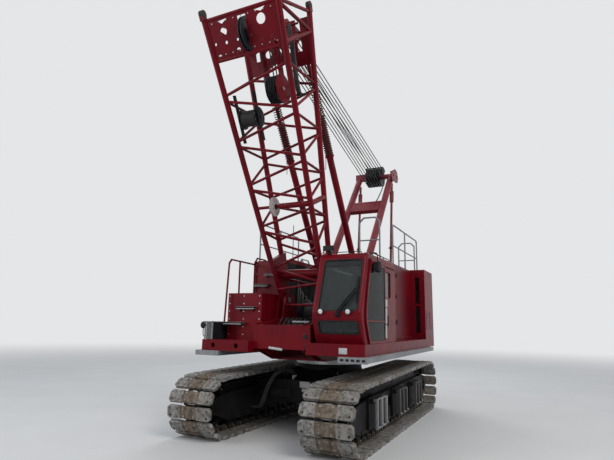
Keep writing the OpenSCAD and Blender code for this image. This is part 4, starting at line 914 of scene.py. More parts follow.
@dataclass
class Tracks(Assembly):
    """Both tracks: cast shoes, bolted to chain links with their pins.

    Attributes:
        middle: Place of a track's middle plane, to either side.
        half_width: Half the width of a shoe.
        thickness: Thickness of a shoe.
        chain: Height of the chain's links.
        count: Shoes in a loop.
        gap: Gap between two shoes.
        front: Place along X, height and inner radius of the front turn.
        rear: The same of the rear turn.
    """

    middle: float = TRACK_MIDDLE
    half_width: float = 0.457
    thickness: float = 0.062
    chain: float = 0.096
    count: int = 54
    gap: float = 0.034
    front: Point = (2.610, 0.540, 0.478)
    rear: Point = (-2.560, 0.582, 0.520)

    def _arcs(self) -> tuple[float, float, float]:
        """Half the slope of the top run, and the lengths of the front and rear turns."""
        slope = math.asin((self.rear[2] - self.front[2]) / (self.front[0] - self.rear[0]))
        return slope, self.front[2] * (math.pi - 2 * slope), self.rear[2] * (math.pi + 2 * slope)

    def _point(self, run: float) -> Vector:
        """Point of the shoes' inner line.

        Args:
            run: Its run along the loop, from under the rear turn.

        Returns:
            Its place along X and its height.
        """
        slope, front_arc, _ = self._arcs()
        straight = (self.front[0] - self.rear[0]) * math.cos(slope)
        top = math.pi / 2 - 2 * slope

        def turn(wheel: Point, angle: float) -> Vector:
            """Point on a wheel's rim."""
            return Vector((wheel[0] + wheel[2] * math.cos(angle), wheel[1] + wheel[2] * math.sin(angle)))

        if run < straight:
            return Vector((self.rear[0] + run, self.thickness))
        run -= straight
        if run < front_arc:
            return turn(self.front, -math.pi / 2 + run / self.front[2])
        run -= front_arc
        if run < straight:
            return turn(self.front, top).lerp(turn(self.rear, top), run / straight)
        return turn(self.rear, top + (run - straight) / self.rear[2])

    def _shoe(self, name: str, half_length: float) -> Workpiece:
        """One shoe with its links, X along the loop and Z outwards.

        Args:
            name: Name of the piece.
            half_length: Half the shoe's length along the loop.

        Returns:
            The shoe, still open to more shells.
        """
        shoe = Workpiece(name, self.shop, Finish.SHOE_RUST)
        top, side, cut = self.thickness, self.half_width, 0.042
        for sign in (-1, 1):
            pad = [(-half_length, 0.175), (half_length, 0.175), (half_length, side - cut),
                   (half_length - cut, side), (cut - half_length, side), (-half_length, side - cut)]
            shoe.slab([(x, sign * y) for x, y in pad], 0.0, top, 0.007, Finish.SHOE_STEEL)
            rib = [(-0.034, 0.17), (0.034, 0.17), (0.034, 0.2), (-0.034, 0.2)]
            shoe.slab([(x, sign * y) for x, y in rib], 0.04, top - 0.001, 0.006)
            for x, y, radius in ((-0.055, 0.385, 0.024), (0.058, 0.398, 0.013), (0.066, 0.235, 0.013),
                                 (-0.066, 0.235, 0.013)):
                shoe.lathe((x, sign * y, top - 0.01), Axis.Z,
                           [(0.0, radius * 1.45), (0.0125, radius * 1.45), (0.013, radius),
                            (0.0085, radius * 0.97)], 10, Finish.SHOE_STEEL)
                shoe.lathe((x, sign * y, top - 0.01), Axis.Z,
                           [(0.0, radius * 0.96), (0.011, radius * 0.96)], 10, Finish.CHAIN)
        for inset, y, drop, edge in ((0.008, 0.18, 0.014, 0.006), (0.004, 0.06, 0.004, 0.01)):
            x = half_length - inset
            shoe.slab([(-x, -y), (x, -y), (x, y), (-x, y)], 0.002, top - drop, edge)
        for x in (-0.062, 0.062):
            for y in (-0.105, 0.105):
                shoe.lathe((x, y, top - 0.02), Axis.Z, [(0.0, 0.021), (0.018, 0.021), (0.02, 0.017)], 6,
                           Finish.SHOE_STEEL)
        low, high = -self.chain, 0.006
        for sign in (-1, 1):
            for x0, x1, y0, y1 in ((-0.128, 0.02, 0.102, 0.142), (-0.02, 0.128, 0.058, 0.098)):
                link = [(x0 + 0.03, low), (x1 - 0.03, low), (x1, low + 0.03), (x1, -0.02),
                        (x1 - 0.02, high), (x0 + 0.02, high), (x0, -0.02), (x0, low + 0.03)]
                shoe.prism([(x, sign * y0, z) for x, z in link], (0, sign * (y1 - y0), 0), Finish.CHAIN)
        shoe.rod((0.1245, -0.15, -0.048), (0.1245, 0.15, -0.048), 0.021, 10, Finish.PIN_STEEL)
        return shoe

    def build(self) -> None:
        """Lay both loops."""
        slope, front_arc, rear_arc = self._arcs()
        loop = 2 * (self.front[0] - self.rear[0]) * math.cos(slope) + front_arc + rear_arc
        pitch = loop / self.count
        for name, side in SIDES:
            pattern = Pattern(self._shoe(name + "_shoes", (pitch - self.gap) / 2), self.site.slew_x)
            for index in range(self.count):
                a = self._point(index * pitch + self.gap / 2)
                b = self._point((index + 1) * pitch - self.gap / 2)
                middle, move = (a + b) / 2, b - a
                pattern.add((middle[0], side * self.middle, middle[1]),
                            (math.pi, math.atan2(-move[1], move[0]), 0.0))
            pattern.place(name + "_crawler", "track_steel", replaces=(name + "_track",))


@dataclass
class BoomStops(Assembly):
    """The two boom stops' sliding rods, with their coil springs.

    Attributes:
        foot: Place of the stops' feet along X and Z.
        head: Place of the stops' heads along X and Z.
        side: Place of a stop to either side.
        coil: Radius of the spring's middle line.
        wire: Radius of the spring's wire.
        turns: Turns of a spring.
    """

    foot: Point = (-0.610, 3.090)
    head: Point = (2.598, 7.572)
    side: float = 0.47
    coil: float = 0.0865
    wire: float = 0.0105
    turns: int = 34

    def build(self) -> None:
        """Make both rods, springs, collars and end eyes."""
        work = self.start("stop_rods_and_springs", Finish.RED_PAINT)
        for side in (-self.side, self.side):
            foot = Vector((self.foot[0], side, self.foot[1]))
            head = Vector((self.head[0], side, self.head[1]))
            axis = (head - foot).normalized()
            length = (head - foot).length
            across = Axis.Y.vector
            other = axis.cross(across)
            work.rod(foot + 2.212 * axis, head, 0.038, 20)
            work.lathe(head - 0.04 * across, across,
                       [(0.0, 0.052), (0.006, 0.062), (0.074, 0.062), (0.08, 0.052)])
            work.lathe(head - 0.052 * across, across, [(0.0, 0.026), (0.104, 0.026)], 16, Finish.PIN_STEEL)
            collar = length - 0.8
            work.lathe(foot + collar * axis, axis, [(0.0, 0.094), (0.004, 0.1), (0.036, 0.1), (0.04, 0.094)])
            work.lathe(foot + (collar - 1.7) * axis, axis,
                       [(0.0, 0.078), (0.0, 0.098), (0.03, 0.098), (0.03, 0.078)])
            for shift in (-0.085, 0.085):
                low = foot + (collar - 1.69) * axis + shift * across
                work.rod(low, low - Vector((0.0, 0.0, 0.28)), 0.007, 6, Finish.CHAIN)
            steps = 18 * self.turns
            path = []
            for k in range(steps + 1):
                angle = math.tau * k / 18
                along = collar - 1.672 + 1.664 * k / steps
                path.append(foot + along * axis + self.coil * (math.cos(angle) * across
                                                               + math.sin(angle) * other))
            work.tube(path, self.wire, 7, Finish.CHAIN)
        work.place("stop_rods", "red_paint", replaces=("boom_stop_rods",))


@dataclass
class HoistRopes(Assembly):
    """The taut ropes between the gantry's sheaves and the boom's bridle.

    Attributes:
        gantry: Place of the gantry's sheaves along X and Z.
        bridle: Place of the bridle's sheaves along the boom and behind its middle.
        sides: Places of the ropes to the left.
        radius: Radius of a rope.
    """

    gantry: Point = (-3.560, 6.500)
    bridle: Point = (5.440, 0.769)
    sides: Sequence[float] = (-0.20, -0.12, -0.04, 0.04, 0.12, 0.20)
    radius: float = 0.011

    def build(self) -> None:
        """Run the ropes over and under the sheaves."""
        work = self.start("hoist_ropes", Finish.ROPE)
        start = Vector((self.gantry[0], 0.0, self.gantry[1]))
        end = self.site.on_boom(self.bridle[0], 0.0, self.bridle[1])
        along = (end - start).normalized()
        up = Vector((-along.z, 0.0, along.x))
        for y in self.sides:
            side = Vector((0.0, y, 0.0))
            for over in (-1, 1):
                work.rod(start + side + over * 0.3015 * up, end + side + over * 0.1215 * up, self.radius, 12)
        piece = work.solid()
        self.site.at(*start)
        self.site.at(*end)
        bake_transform(piece)
        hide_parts("boom_hoist_ropes")
        LOG.info("%s runs from upperworks to boom", piece.name)


@dataclass
class Sheaves(Assembly):
    """The grooved wheels and rollers of the gantry's head and of the boom."""

    @staticmethod
    def _wheel(work: Workpiece, centre: Vector, radius: float, half: float, bore: float) -> None:
        """One grooved wheel with a dished web, a hub and round recesses.

        Args:
            work: The mesh that takes it.
            centre: Middle of the wheel.
            radius: Radius of its rim.
            half: Half the width of its rim.
            bore: Radius of its hub's outside.
        """
        lip, deep, web = half * 0.45, radius - 1.5 * half, radius * 0.74
        work.lathe(centre, Axis.Y, mirrored((half * 0.98, bore * 0.6), (half, bore),
                                            (half * 0.96, bore + 0.008), (half * 0.5, bore + 0.014),
                                            (half * 0.42, web), (half * 0.9, radius * 0.8),
                                            (half, radius - 0.006), (half * 0.92, radius), (lip, radius),
                                            (lip * 0.7, deep), middle=[(0.0, deep - half * 0.2)]), 48,
                   Finish.WINCH_PAINT)
        for k in range(6):
            work.lathe(centre + upright((bore + web) / 2, math.tau * k / 6), Axis.Y,
                       mirrored((half * 0.46, 0.028), (half * 0.52, 0.022)), 14, Finish.WINCH_PAINT)

    def gantry(self) -> None:
        """Six sheaves on the gantry's head bar."""
        work = self.start("gantry_head_sheaves", Finish.WINCH_PAINT)
        for y in spaced(-0.2, 0.08, 6):
            self._wheel(work, Vector((-3.56, y, 6.5)), 0.29, 0.022, 0.095)
        work.place("upperworks", "winch_paint", replaces=("gantry_sheaves",))

    def head(self) -> None:
        """Three sheaves that turn in the boom's head, on their own pin."""
        work = self.start("boom_head_sheaves", Finish.PIN_STEEL)
        middle = self.site.on_boom(4.18, 0.0, 0.0)
        for y in (0.04, 0.11, 0.18):
            self._wheel(work, middle + Vector((0.0, y, 0.0)), 0.26, 0.025, 0.07)
        work.lathe(middle, Axis.Y, [(-0.06, 0.034), (-0.056, 0.04), (0.276, 0.04), (0.28, 0.034)], 24)
        work.place("boom_sheaves", "winch_paint", replaces=("boom_sheaves",))

    def guides(self) -> None:
        """The pale guide disc on its cross tubes, and the single sheave in the front plate."""
        work = self.start("boom_guides", Finish.RED_PAINT)
        on, along = self.site.on_boom, 2.03
        width, depth = self.site.half(along)
        spot = on(along, -0.176, -depth)
        work.lathe(spot, Axis.Y, mirrored((0.025, 0.05), (0.025, 0.15), (0.021, 0.156), (0.022, 0.18),
                                          (0.018, 0.185), (0.008, 0.185), middle=[(0.0, 0.17)]), 56,
                   Finish.CREAM)
        work.lathe(spot, Axis.Y, mirrored((0.052, 0.036), (0.048, 0.048)), 24, Finish.RUBBER)
        for k in range(8):
            work.lathe(spot + upright(0.11, math.pi / 4 * k + 0.2), Axis.Y,
                       mirrored((0.034, 0.01), (0.032, 0.013)), 6, Finish.PIN_STEEL)
        work.rod(on(along, -width + 0.02, -depth), on(along, -0.02, -depth), 0.03)
        work.rod(on(along, -0.06, -depth), on(along, width - 0.02, -depth), 0.055, 24)
        work.rod(on(along, width, -depth + 0.03), on(along, width, depth - 0.03), 0.054, 24)
        middle = on(5.15, 0.005, -0.499)
        self._wheel(work, middle, 0.305, 0.04, 0.08)
        work.lathe(middle, Axis.Y, mirrored((0.088, 0.034), (0.084, 0.04)), 20, Finish.PIN_STEEL)
        work.place("boom", "winch_paint", replaces=("boom_guide_sheaves",))

    def build(self) -> None:
        """Make every set."""
        self.gantry()
        self.head()
        self.guides()


@dataclass
class Winches(Assembly):
    """The winch drums with their wound rope.

    Attributes:
        height: Height of the bed's drums.
        rope: Radius of the wound rope.
    """

    height: float = 2.230
    rope: float = 0.0125

    def _wound(self, low: float, high: float, radius: float) -> list[Pair]:
        """Profile of a drum covered with turns of rope.

        Args:
            low: Where the winding starts.
            high: Where it ends.
            radius: Radius over the rope.

        Returns:
            Pairs of place along the drum and radius.
        """
        turns = int((high - low) / (2 * self.rope))
        step = (high - low) / turns
        bulge = ((-0.45, 0.85), (-0.22, 0.15), (0.0, 0.0), (0.22, 0.15))
        return [(low + (k + 0.5) * step + shift * step, radius - drop * self.rope)
                for k in range(turns) for shift, drop in bulge]

    def _drum(self, name: str, centre: Vector, half: float, radius: float, rim: float, shaft: float,
              reach: float) -> None:
        """One drum between two ribbed flanges.

        Args:
            name: Name of the piece, also of its body and the node that it replaces.
            centre: Middle of the drum.
            half: Half the length of the winding.
            radius: Radius over the rope.
            rim: Radius of the flanges.
            shaft: Radius of the shaft.
            reach: Half the length of the shaft.
        """
        work = self.start(name + "_wound", Finish.WINCH_PAINT)
        axis = Axis.Y.vector
        work.lathe(centre, axis, self._wound(-half, half, radius), 40, Finish.ROPE)
        for side in (-1, 1):
            work.lathe(centre, side * axis, [(half - 0.002, radius * 0.8), (half, rim - 0.01),
                                             (half + 0.004, rim), (half + 0.016, rim),
                                             (half + 0.014, rim - 0.035), (half + 0.01, shaft + 0.03),
                                             (half + 0.015, shaft + 0.02)], 48)
            for k in range(10):
                spot = centre + upright(rim - 0.022, math.tau * k / 10) + side * axis * (half + 0.008)
                work.lathe(spot, side * axis, [(0.0, 0.011), (0.01, 0.011), (0.012, 0.008)], 6,
                           Finish.PIN_STEEL)
        work.lathe(centre, axis, mirrored((reach, shaft - 0.006), (reach - 0.006, shaft)), 28)
        work.place(name, "winch_paint", replaces=(name,))

    def build(self) -> None:
        """Make the three drums on the bed and the rigging winch in the boom."""
        for name, x, radius in (("front_winch_drum", 0.33, 0.23), ("rear_winch_drum", -0.95, 0.23),
                                ("boom_hoist_drum", -2.15, 0.2)):
            self._drum(name, Vector((x, 0.0, self.height)), 0.377, radius, radius + 0.11, 0.09, 0.449)
        along = 3.74
        width, depth = self.site.half(along)
        low, high = 0.138 - width, 0.548 - width
        middle = self.site.on_boom(along, (low + high) / 2, 0.142 - depth)
        half = (high - low) / 2 - 0.045
        self._drum("rigging_winch_drum", middle, half, 0.15, 0.19, 0.04, half + 0.075)


@dataclass
class Undercarriage(Assembly):
    """Blank plates and hoses on the carbody, folded steps and slide rails on the side frames.

    Attributes:
        hose: Radius of a hose.
    """

    hose: float = 0.014

    def _route(self, shift: float) -> list[Vector]:
        """Middle line of one hose, from the carbody's top down to the right side frame.

        Args:
            shift: Place of the hose across the bundle.

        Returns:
            Points of a smooth curve through the knots.
        """
        knots = [Vector((x + shift, y - 0.25 * shift, z))
                 for x, y, z in ((0.99, -0.33, 0.921), (1.0, -0.335, 1.0), (1.07, -0.375, 1.1),
                                 (1.2, -0.47, 1.11), (1.31, -0.6, 1.01), (1.37, -0.7, 0.84),
                                 (1.395, -0.765, 0.66), (1.405, -0.82, 0.49), (1.405, -0.9, 0.385),
                                 (1.405, -0.985, 0.372), (1.405, -1.0545, 0.382))]
        ends = [2 * knots[0] - knots[1], *knots, 2 * knots[-1] - knots[-2]]
        path = []
        for a, b, c, d in zip(ends, ends[1:], ends[2:], ends[3:]):
            for k in range(4):
                t = k / 4
                square, cube = 2 * a - 5 * b + 4 * c - d, 3 * b - a - 3 * c + d
                path.append(0.5 * (2 * b + (c - a) * t + square * t * t + cube * t ** 3))
        return [*path, knots[-1]]

    def hoses(self) -> None:
        """Hang the bundle that feeds the right track's motor."""
        for number in range(3):
            path = self._route(0.042 * (number - 1))
            work = self.start(f"track_hose_{number + 1}", Finish.HOSE)
            work.tube(path, self.hose, 14)
            piece = work.solid()
            self.site.at(1.4, -0.5, 0.6)
            self.site.at(1.4, -1.05, 0.6)
            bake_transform(piece)
            length = sum((b - a).length for a, b in zip(path, path[1:]))
            route = [self.site.at(*point) for point in path]
            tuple(route[0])
            LOG.info("%s runs from carbody to right_crawler, %.2f m", piece.name, length)

    def fittings(self) -> None:
        """Put the hose ends, two blank plates and their bolts on the carbody."""
        work = self.start("carbody_fittings", Finish.PIN_STEEL)
        for number in range(3):
            spot = self._route(0.042 * (number - 1))[0]
            work.lathe(spot - Vector((0, 0, 0.003)), Axis.Z,
                       [(0.0, 0.026), (0.035, 0.026), (0.04, 0.0215), (0.07, 0.0205)], 8)
        for y0, y1, z0, z1 in ((-0.076, 0.142, 0.792, 0.908), (-0.028, 0.086, 0.716, 0.778)):
            work.block((1.25, y0, z0), (1.256, y1, z1), Finish.PLATE)
            for y in (y0 + 0.015, y1 - 0.015):
                for z in (z0 + 0.015, z1 - 0.015):
                    work.lathe((1.256, y, z), Axis.X, [(0.0, 0.006), (0.003, 0.005)], 8)
        for y in (0.41, 0.49):
            work.lathe((0.705, y, 1.02), Axis.Z, [(0.0, 0.022), (0.05, 0.022), (0.055, 0.016)], 12)
            work.rod((0.705, y, 0.921), (0.705, y, 1.03), 0.012, 10, Finish.RUBBER)
        work.place("carbody", "dark_paint")

    def steps(self) -> None:
        """Hang the folded steps on the outer sides of both frames."""
        for name, side in SIDES:
            work = self.start(name + "_folded_steps", Finish.PIN_STEEL)
            for start, metal in ((-1.7, Finish.DULL_STEEL), (-0.33, Finish.DULL_STEEL), (1.15, Finish.WALKWAY)):
                def spot(along: float, out: float, height: float) -> Vector:
                    """Point of this step, out from the track's middle."""
                    return Vector((start + along, side * (TRACK_MIDDLE + out), height))

                def bar(a: Point, b: Point, finish: Finish = metal) -> None:
                    """Box between two such points."""
                    p, q = spot(*a), spot(*b)
                    work.block([min(u, v) for u, v in zip(p, q)], [max(u, v) for u, v in zip(p, q)], finish)

                bar((0.02, 0.221, 0.27), (0.68, 0.262, 0.79), Finish.BLACK_PAINT)
                bar((0.04, 0.262, 0.7), (0.66, 0.33, 0.78), Finish.BLACK_PAINT)
                for along in (0.045, 0.315, 0.585):
                    bar((along, 0.36, 0.3), (along + 0.06, 0.405, 0.775))
                    bar((along + 0.012, 0.258, 0.735), (along + 0.048, 0.37, 0.77))
                for height in (0.285, 0.755):
                    bar((0.04, 0.362, height), (0.65, 0.398, height + 0.022))
                for along in (0.075, 0.345, 0.615):
                    work.rod(spot(along, 0.35, 0.33), spot(along, 0.425, 0.33), 0.018, 10)
            work.place(name + "_crawler", "walkway_metal", bevel=0.004, replaces=(name + "_steps",))

    def rails(self) -> None:
        """Lay the dark slide rails and carrier rollers under each track's top run."""
        for name, side in SIDES:
            work = self.start(name + "_slide_rail", Finish.BLACK_PAINT)
            middle = side * TRACK_MIDDLE
            side_view = ((-1.95, 0.78), (2.27, 0.78), (2.35, 0.855), (2.35, 0.885), (-1.95, 0.965))
            for shift in (-0.15, 0.09):
                work.prism([(x, middle + shift, z) for x, z in side_view], (0, 0.06, 0))
            for x in (-1.35, -0.45, 0.45, 1.35):
                work.lathe((x, middle, 0.815 - 0.021 * x), Axis.Y, mirrored((0.089, 0.05), (0.08, 0.066)), 24)
            work.place(name + "_crawler", "dark_paint", bevel=0.003)

    def build(self) -> None:
        """Make all of it."""
        self.hoses()
        self.fittings()
        self.steps()
        self.rails()


@dataclass
class Cab(Assembly):
    """Everything on and in the cab that its shell leaves out.

    Attributes:
        lean: Lean of the windshield from upright, in radians.
        under: Lean of the lower window, forwards, in radians.
    """

    lean: float = math.radians(18.61)
    under: float = math.radians(23.79)

    def shield(self, y: float, along: float, out: float) -> Vector:
        """Point by the windshield: up along it from its sill, and out from it."""
        c, s = math.cos(self.lean), math.sin(self.lean)
        return Vector((2.385 - along * s + out * c, y, 2.235 + along * c + out * s))

    def lower(self, y: float, along: float, out: float) -> Vector:
        """Point by the lower window: up along it from its foot, and out from it."""
        c, s = math.cos(self.under), math.sin(self.under)
        return Vector((2.19 + along * s + out * c, y, 1.7 + along * c - out * s))

    @staticmethod
    def _loop(y0: float, y1: float, a0: float, a1: float, radius: float) -> list[Pair]:
        """Outline with four round corners.

        Args:
            y0: Its lowest first number.
            y1: Its highest first number.
            a0: Its lowest second number.
            a1: Its highest second number.
            radius: Radius of its corners.

        Returns:
            Seven points to each corner.
        """
        points = []
        for y, a, start in ((y1 - radius, a1 - radius, 0.0), (y0 + radius, a1 - radius, 0.5),
                            (y0 + radius, a0 + radius, 1.0), (y1 - radius, a0 + radius, 1.5)):
            for k in range(7):
                angle = math.pi * (start + k / 12)
                points.append((y + radius * math.cos(angle), a + radius * math.sin(angle)))
        return points

    def seals(self) -> None:
        """Run black rubber round the front windows."""
        work = self.start("window_seals", Finish.RUBBER)
        for out, radius in ((-0.004, 0.0115), (-0.013, 0.011)):
            for pane, edge in ((self.shield, (0.803, 1.529, 0.025, 0.993, 0.058)),
                               (self.lower, (0.793, 1.529, 0.183, 0.418, 0.048))):
                work.tube([pane(y, a, out) for y, a in self._loop(*edge)], radius, 8, closed=True)
        band = [(0.812, 0.872), (1.52, 0.872), (1.52, 0.975), (0.812, 0.975)]
        work.prism([self.shield(y, a, -0.0165) for y, a in band],
                   self.shield(0, 0, 0) - self.shield(0, 0, -0.004), Finish.TRIM)
        for k, y in enumerate(spaced(0.835, 0.085, 9)):
            path = ((y, 0.884 + 0.02 * (k % 2), -0.0125), (y + 0.03, 0.93, -0.0115),
                    (y + 0.07, 0.925 + 0.02 * (k % 3), -0.0125))
            work.tube([self.shield(*p) for p in path], 0.0045, 6, Finish.HOSE)
        work.place("upperworks", "black_rubber")

    def wiper(self) -> None:
        """Lay the wiper's two arms and its upright blade on the windshield."""
        work = self.start("windshield_wiper", Finish.BLACK_PAINT)
        for shift in (-0.022, 0.022):
            arm = ((1.18 + shift, -0.045, 0.022), (1.205 + shift, 0.02, 0.04),
                   (1.475 + 0.6 * shift, 0.4 - shift, 0.03))
            work.tube([self.shield(*p) for p in arm], 0.0125, 10)
        work.lathe(self.shield(1.18, -0.045, 0.0), self.shield(0, 0, 1) - self.shield(0, 0, 0),
                   [(-0.004, 0.05), (0.012, 0.048), (0.03, 0.036), (0.036, 0.02)], 20)
        blade = ((1.502, 0.155, 0.01), (1.494, 0.4, 0.022), (1.486, 0.65, 0.01))
        work.tube([self.shield(*p) for p in blade], 0.009, 8)
        work.tube([self.shield(1.503, 0.15, 0.0), self.shield(1.487, 0.655, 0.0)], 0.008, 6, Finish.RUBBER)
        work.rod(self.shield(1.468, 0.398, 0.03), self.shield(1.502, 0.402, 0.022), 0.012, 8)
        work.place("upperworks", "black_rubber")

    def lamps(self) -> None:
        """Set two round work lamps under the windshield and one square lamp on the roof's corner."""
        work = self.start("cab_lamps", Finish.RUBBER)
        forward = Vector((0.985, 0.0, -0.174))
        for y in (0.878, 1.381):
            spot = self.shield(y, 0.012, 0.012)
            work.lathe(spot, forward, [(0.0, 0.02), (0.006, 0.04), (0.038, 0.05), (0.056, 0.05),
                                       (0.054, 0.041)], 24)
            work.lathe(spot, forward, [(0.04, 0.041), (0.055, 0.041), (0.062, 0.026), (0.064, 0.01)], 24,
                       Finish.LENS)
            work.rod(spot + 0.02 * forward, self.shield(y, -0.052, 0.004), 0.01, 8)
        x0, x1, y0, y1, z0, z1 = 1.95, 2.03, 0.73, 0.93, 3.362, 3.46
        work.rings([[(x, y0 + e, z0 + e), (x, y1 - e, z0 + e), (x, y1 - e, z1 - e), (x, y0 + e, z1 - e)]
                    for x, e in ((x0, 0.022), (x0 + 0.02, 0.006), (x1 - 0.01, 0.0), (x1, 0.002))], smooth=False)
        work.block((x1 - 0.004, y0 + 0.01, z0 + 0.01), (x1 + 0.002, y1 - 0.01, z1 - 0.01), Finish.TRIM)
        for y in (y0 - 0.006, y1 + 0.001):
            work.block((1.975, y, 3.315), (2.005, y + 0.005, 3.425), Finish.BLACK_PAINT)
        work.block((1.885, 0.8, 3.311), (1.965, 0.86, 3.368), Finish.BLACK_PAINT)
        work.place("upperworks", "black_rubber")

    def mirror(self) -> None:
        """Hang the rear mirror beside the door on its bent arm."""
        work = self.start("cab_mirror", Finish.RUBBER)
        y0, y1, z0, z1 = 1.64, 1.734, 2.97, 3.17
        work.rings([[(x, y, z) for y, z in self._loop(y0 + inset, y1 - inset, z0 + inset, z1 - inset, 0.02)]
                    for x, inset in ((1.64, 0.008), (1.65, 0.0), (1.74, 0.0), (1.785, 0.006), (1.806, 0.02))])
        outline = self._loop(y0 + 0.01, y1 - 0.01, z0 + 0.01, z1 - 0.01, 0.015)
        work.prism([(1.6375, y, z) for y, z in outline], (0.004, 0, 0), Finish.MIRROR)
        work.tube(((1.725, 1.687, 3.165), (1.725, 1.687, 3.285), (1.725, 1.672, 3.316),
                   (1.725, 1.64, 3.328), (1.725, 1.47, 3.328)), 0.011, 12)
        for z in (3.02, 3.12):
            work.rod((1.745, 1.687, z), (1.745, 1.6, z + 0.01), 0.005, 8)
        work.block((1.702, 1.437, 3.311), (1.748, 1.485, 3.34), Finish.BLACK_PAINT)
        work.place("upperworks", "black_rubber", replaces=("cab_mirrors",))

    def roof(self) -> None:
        """Add the grab rail, the aerial's foot and the gutter on the roof."""
        work = self.start("cab_roof_rail", Finish.RUBBER)
        work.tube(((1.6, 1.52, 3.305), (1.59, 1.52, 3.35), (1.56, 1.52, 3.368), (0.42, 1.52, 3.368),
                   (0.39, 1.52, 3.35), (0.38, 1.52, 3.305)), 0.01, 10)
        for x in (1.2, 0.8):
            work.rod((x, 1.52, 3.305), (x, 1.52, 3.368), 0.008, 8)
        work.lathe((1.46, 1.03, 3.309), Axis.Z, [(0.0, 0.045), (0.018, 0.042), (0.03, 0.016), (0.075, 0.01),
                                                 (0.08, 0.004)], 20)
        work.tube([(1.9, y, z) for y, z in ((0.95, 3.309), (0.96, 3.335), (1.0, 3.342), (1.4, 3.342),
                                            (1.44, 3.335), (1.45, 3.309))], 0.008, 8)
        work.place("upperworks", "black_rubber")

    def door_trim(self) -> None:
        """Put seals, a handle and blank plates on the sliding door."""
        work = self.start("cab_door_trim", Finish.RUBBER)
        front = ((1.748, 0.44), (1.89, 0.345), (2.1, 0.251), (2.26, 0.251), (2.59, 0.323), (2.895, 0.429),
                 (3.11, 0.51))
        low = [(2.385 - b, z) for z, b in front if z < 2.09]
        high = [(2.385 - b, z) for z, b in front if z > 2.09]
        for loop in ([(1.078, 1.752), *low, (2.134, 2.082), (1.078, 2.082)],
                     [(1.078, 2.112), (2.134, 2.112), *high[1:], (1.078, 3.108)]):
            work.tube([(x, 1.6195, z) for x, z in loop], 0.0065, 6, closed=True)
        for x0, x1, z0, z1 in ((0.925, 1.04, 2.375, 2.52), (0.945, 1.05, 2.055, 2.355),
                               (0.965, 1.06, 1.79, 2.03)):
            work.block((x0, 1.6265, z0), (x1, 1.6285, z1), Finish.PLATE)
        work.block((0.9, 1.6265, 2.0), (0.93, 1.634, 2.22))
        work.tube([(0.915, y, z) for y, z in ((1.628, 2.02), (1.64, 2.035), (1.64, 2.185), (1.628, 2.2))],
                  0.008, 8, Finish.BLACK_PAINT)
        work.place("cab_door", "black_rubber")

    def inside(self) -> None:
        """Line the cab and fit its consoles, levers, pedals and display."""
        work = self.start("cab_interior", Finish.RUBBER)
        trim = Finish.TRIM
        work.block((0.3, 0.72, 1.768), (0.318, 1.54, 2.4), trim)
        work.block((0.34, 0.716, 1.762), (2.13, 1.545, 1.772))
        work.block((0.72, 0.722, 1.773), (1.5, 0.842, 2.3), trim)
        work.block((0.72, 0.722, 2.3), (1.42, 0.835, 2.34))
        work.block((0.86, 1.412, 1.773), (1.38, 1.505, 2.235), trim)
        work.rings([[(1.9 + e, y, 1.8), (2.1 - e, y, 1.9), (2.12 - e, y, 2.4), (1.96 + e, y, 2.44)]
                    for y, e in ((0.725, 0.01), (0.735, 0.0), (0.875, 0.0), (0.885, 0.01))], smooth=False,
                   finish=trim)
        work.block((1.885, 0.745, 2.47), (1.915, 0.985, 2.64))
        work.rod((1.905, 0.86, 2.4), (1.905, 0.86, 2.5), 0.014, 10)
        for x, y, z in ((1.26, 0.78, 2.335), (1.28, 1.455, 2.23), (1.1, 0.78, 2.335)):
            work.tube([(x, y, z), (x + 0.01, y, z + 0.07), (x + 0.03, y, z + 0.12)], 0.009, 10)
            work.lathe((x + 0.026, y, z + 0.105), Vector((0.2, 0.0, 0.98)),
                       [(0.0, 0.012), (0.012, 0.024), (0.06, 0.027), (0.086, 0.02), (0.094, 0.006)], 18)
        for y in (0.98, 1.13, 1.28):
            low, high = y - 0.045, y + 0.045
            work.rings([[(x, low, z), (x, high, z), (x - 0.012, high, z - 0.008), (x - 0.012, low, z - 0.008)]
                        for x, z in ((1.86, 1.8), (1.94, 1.9), (1.97, 1.96))], smooth=False)
        work.place("upperworks", "black_rubber", bevel=0.005)

    def build(self) -> None:
        """Make all of it."""
        self.seals()
        self.wiper()
        self.lamps()
        self.mirror()
        self.roof()
        self.door_trim()
        self.inside()


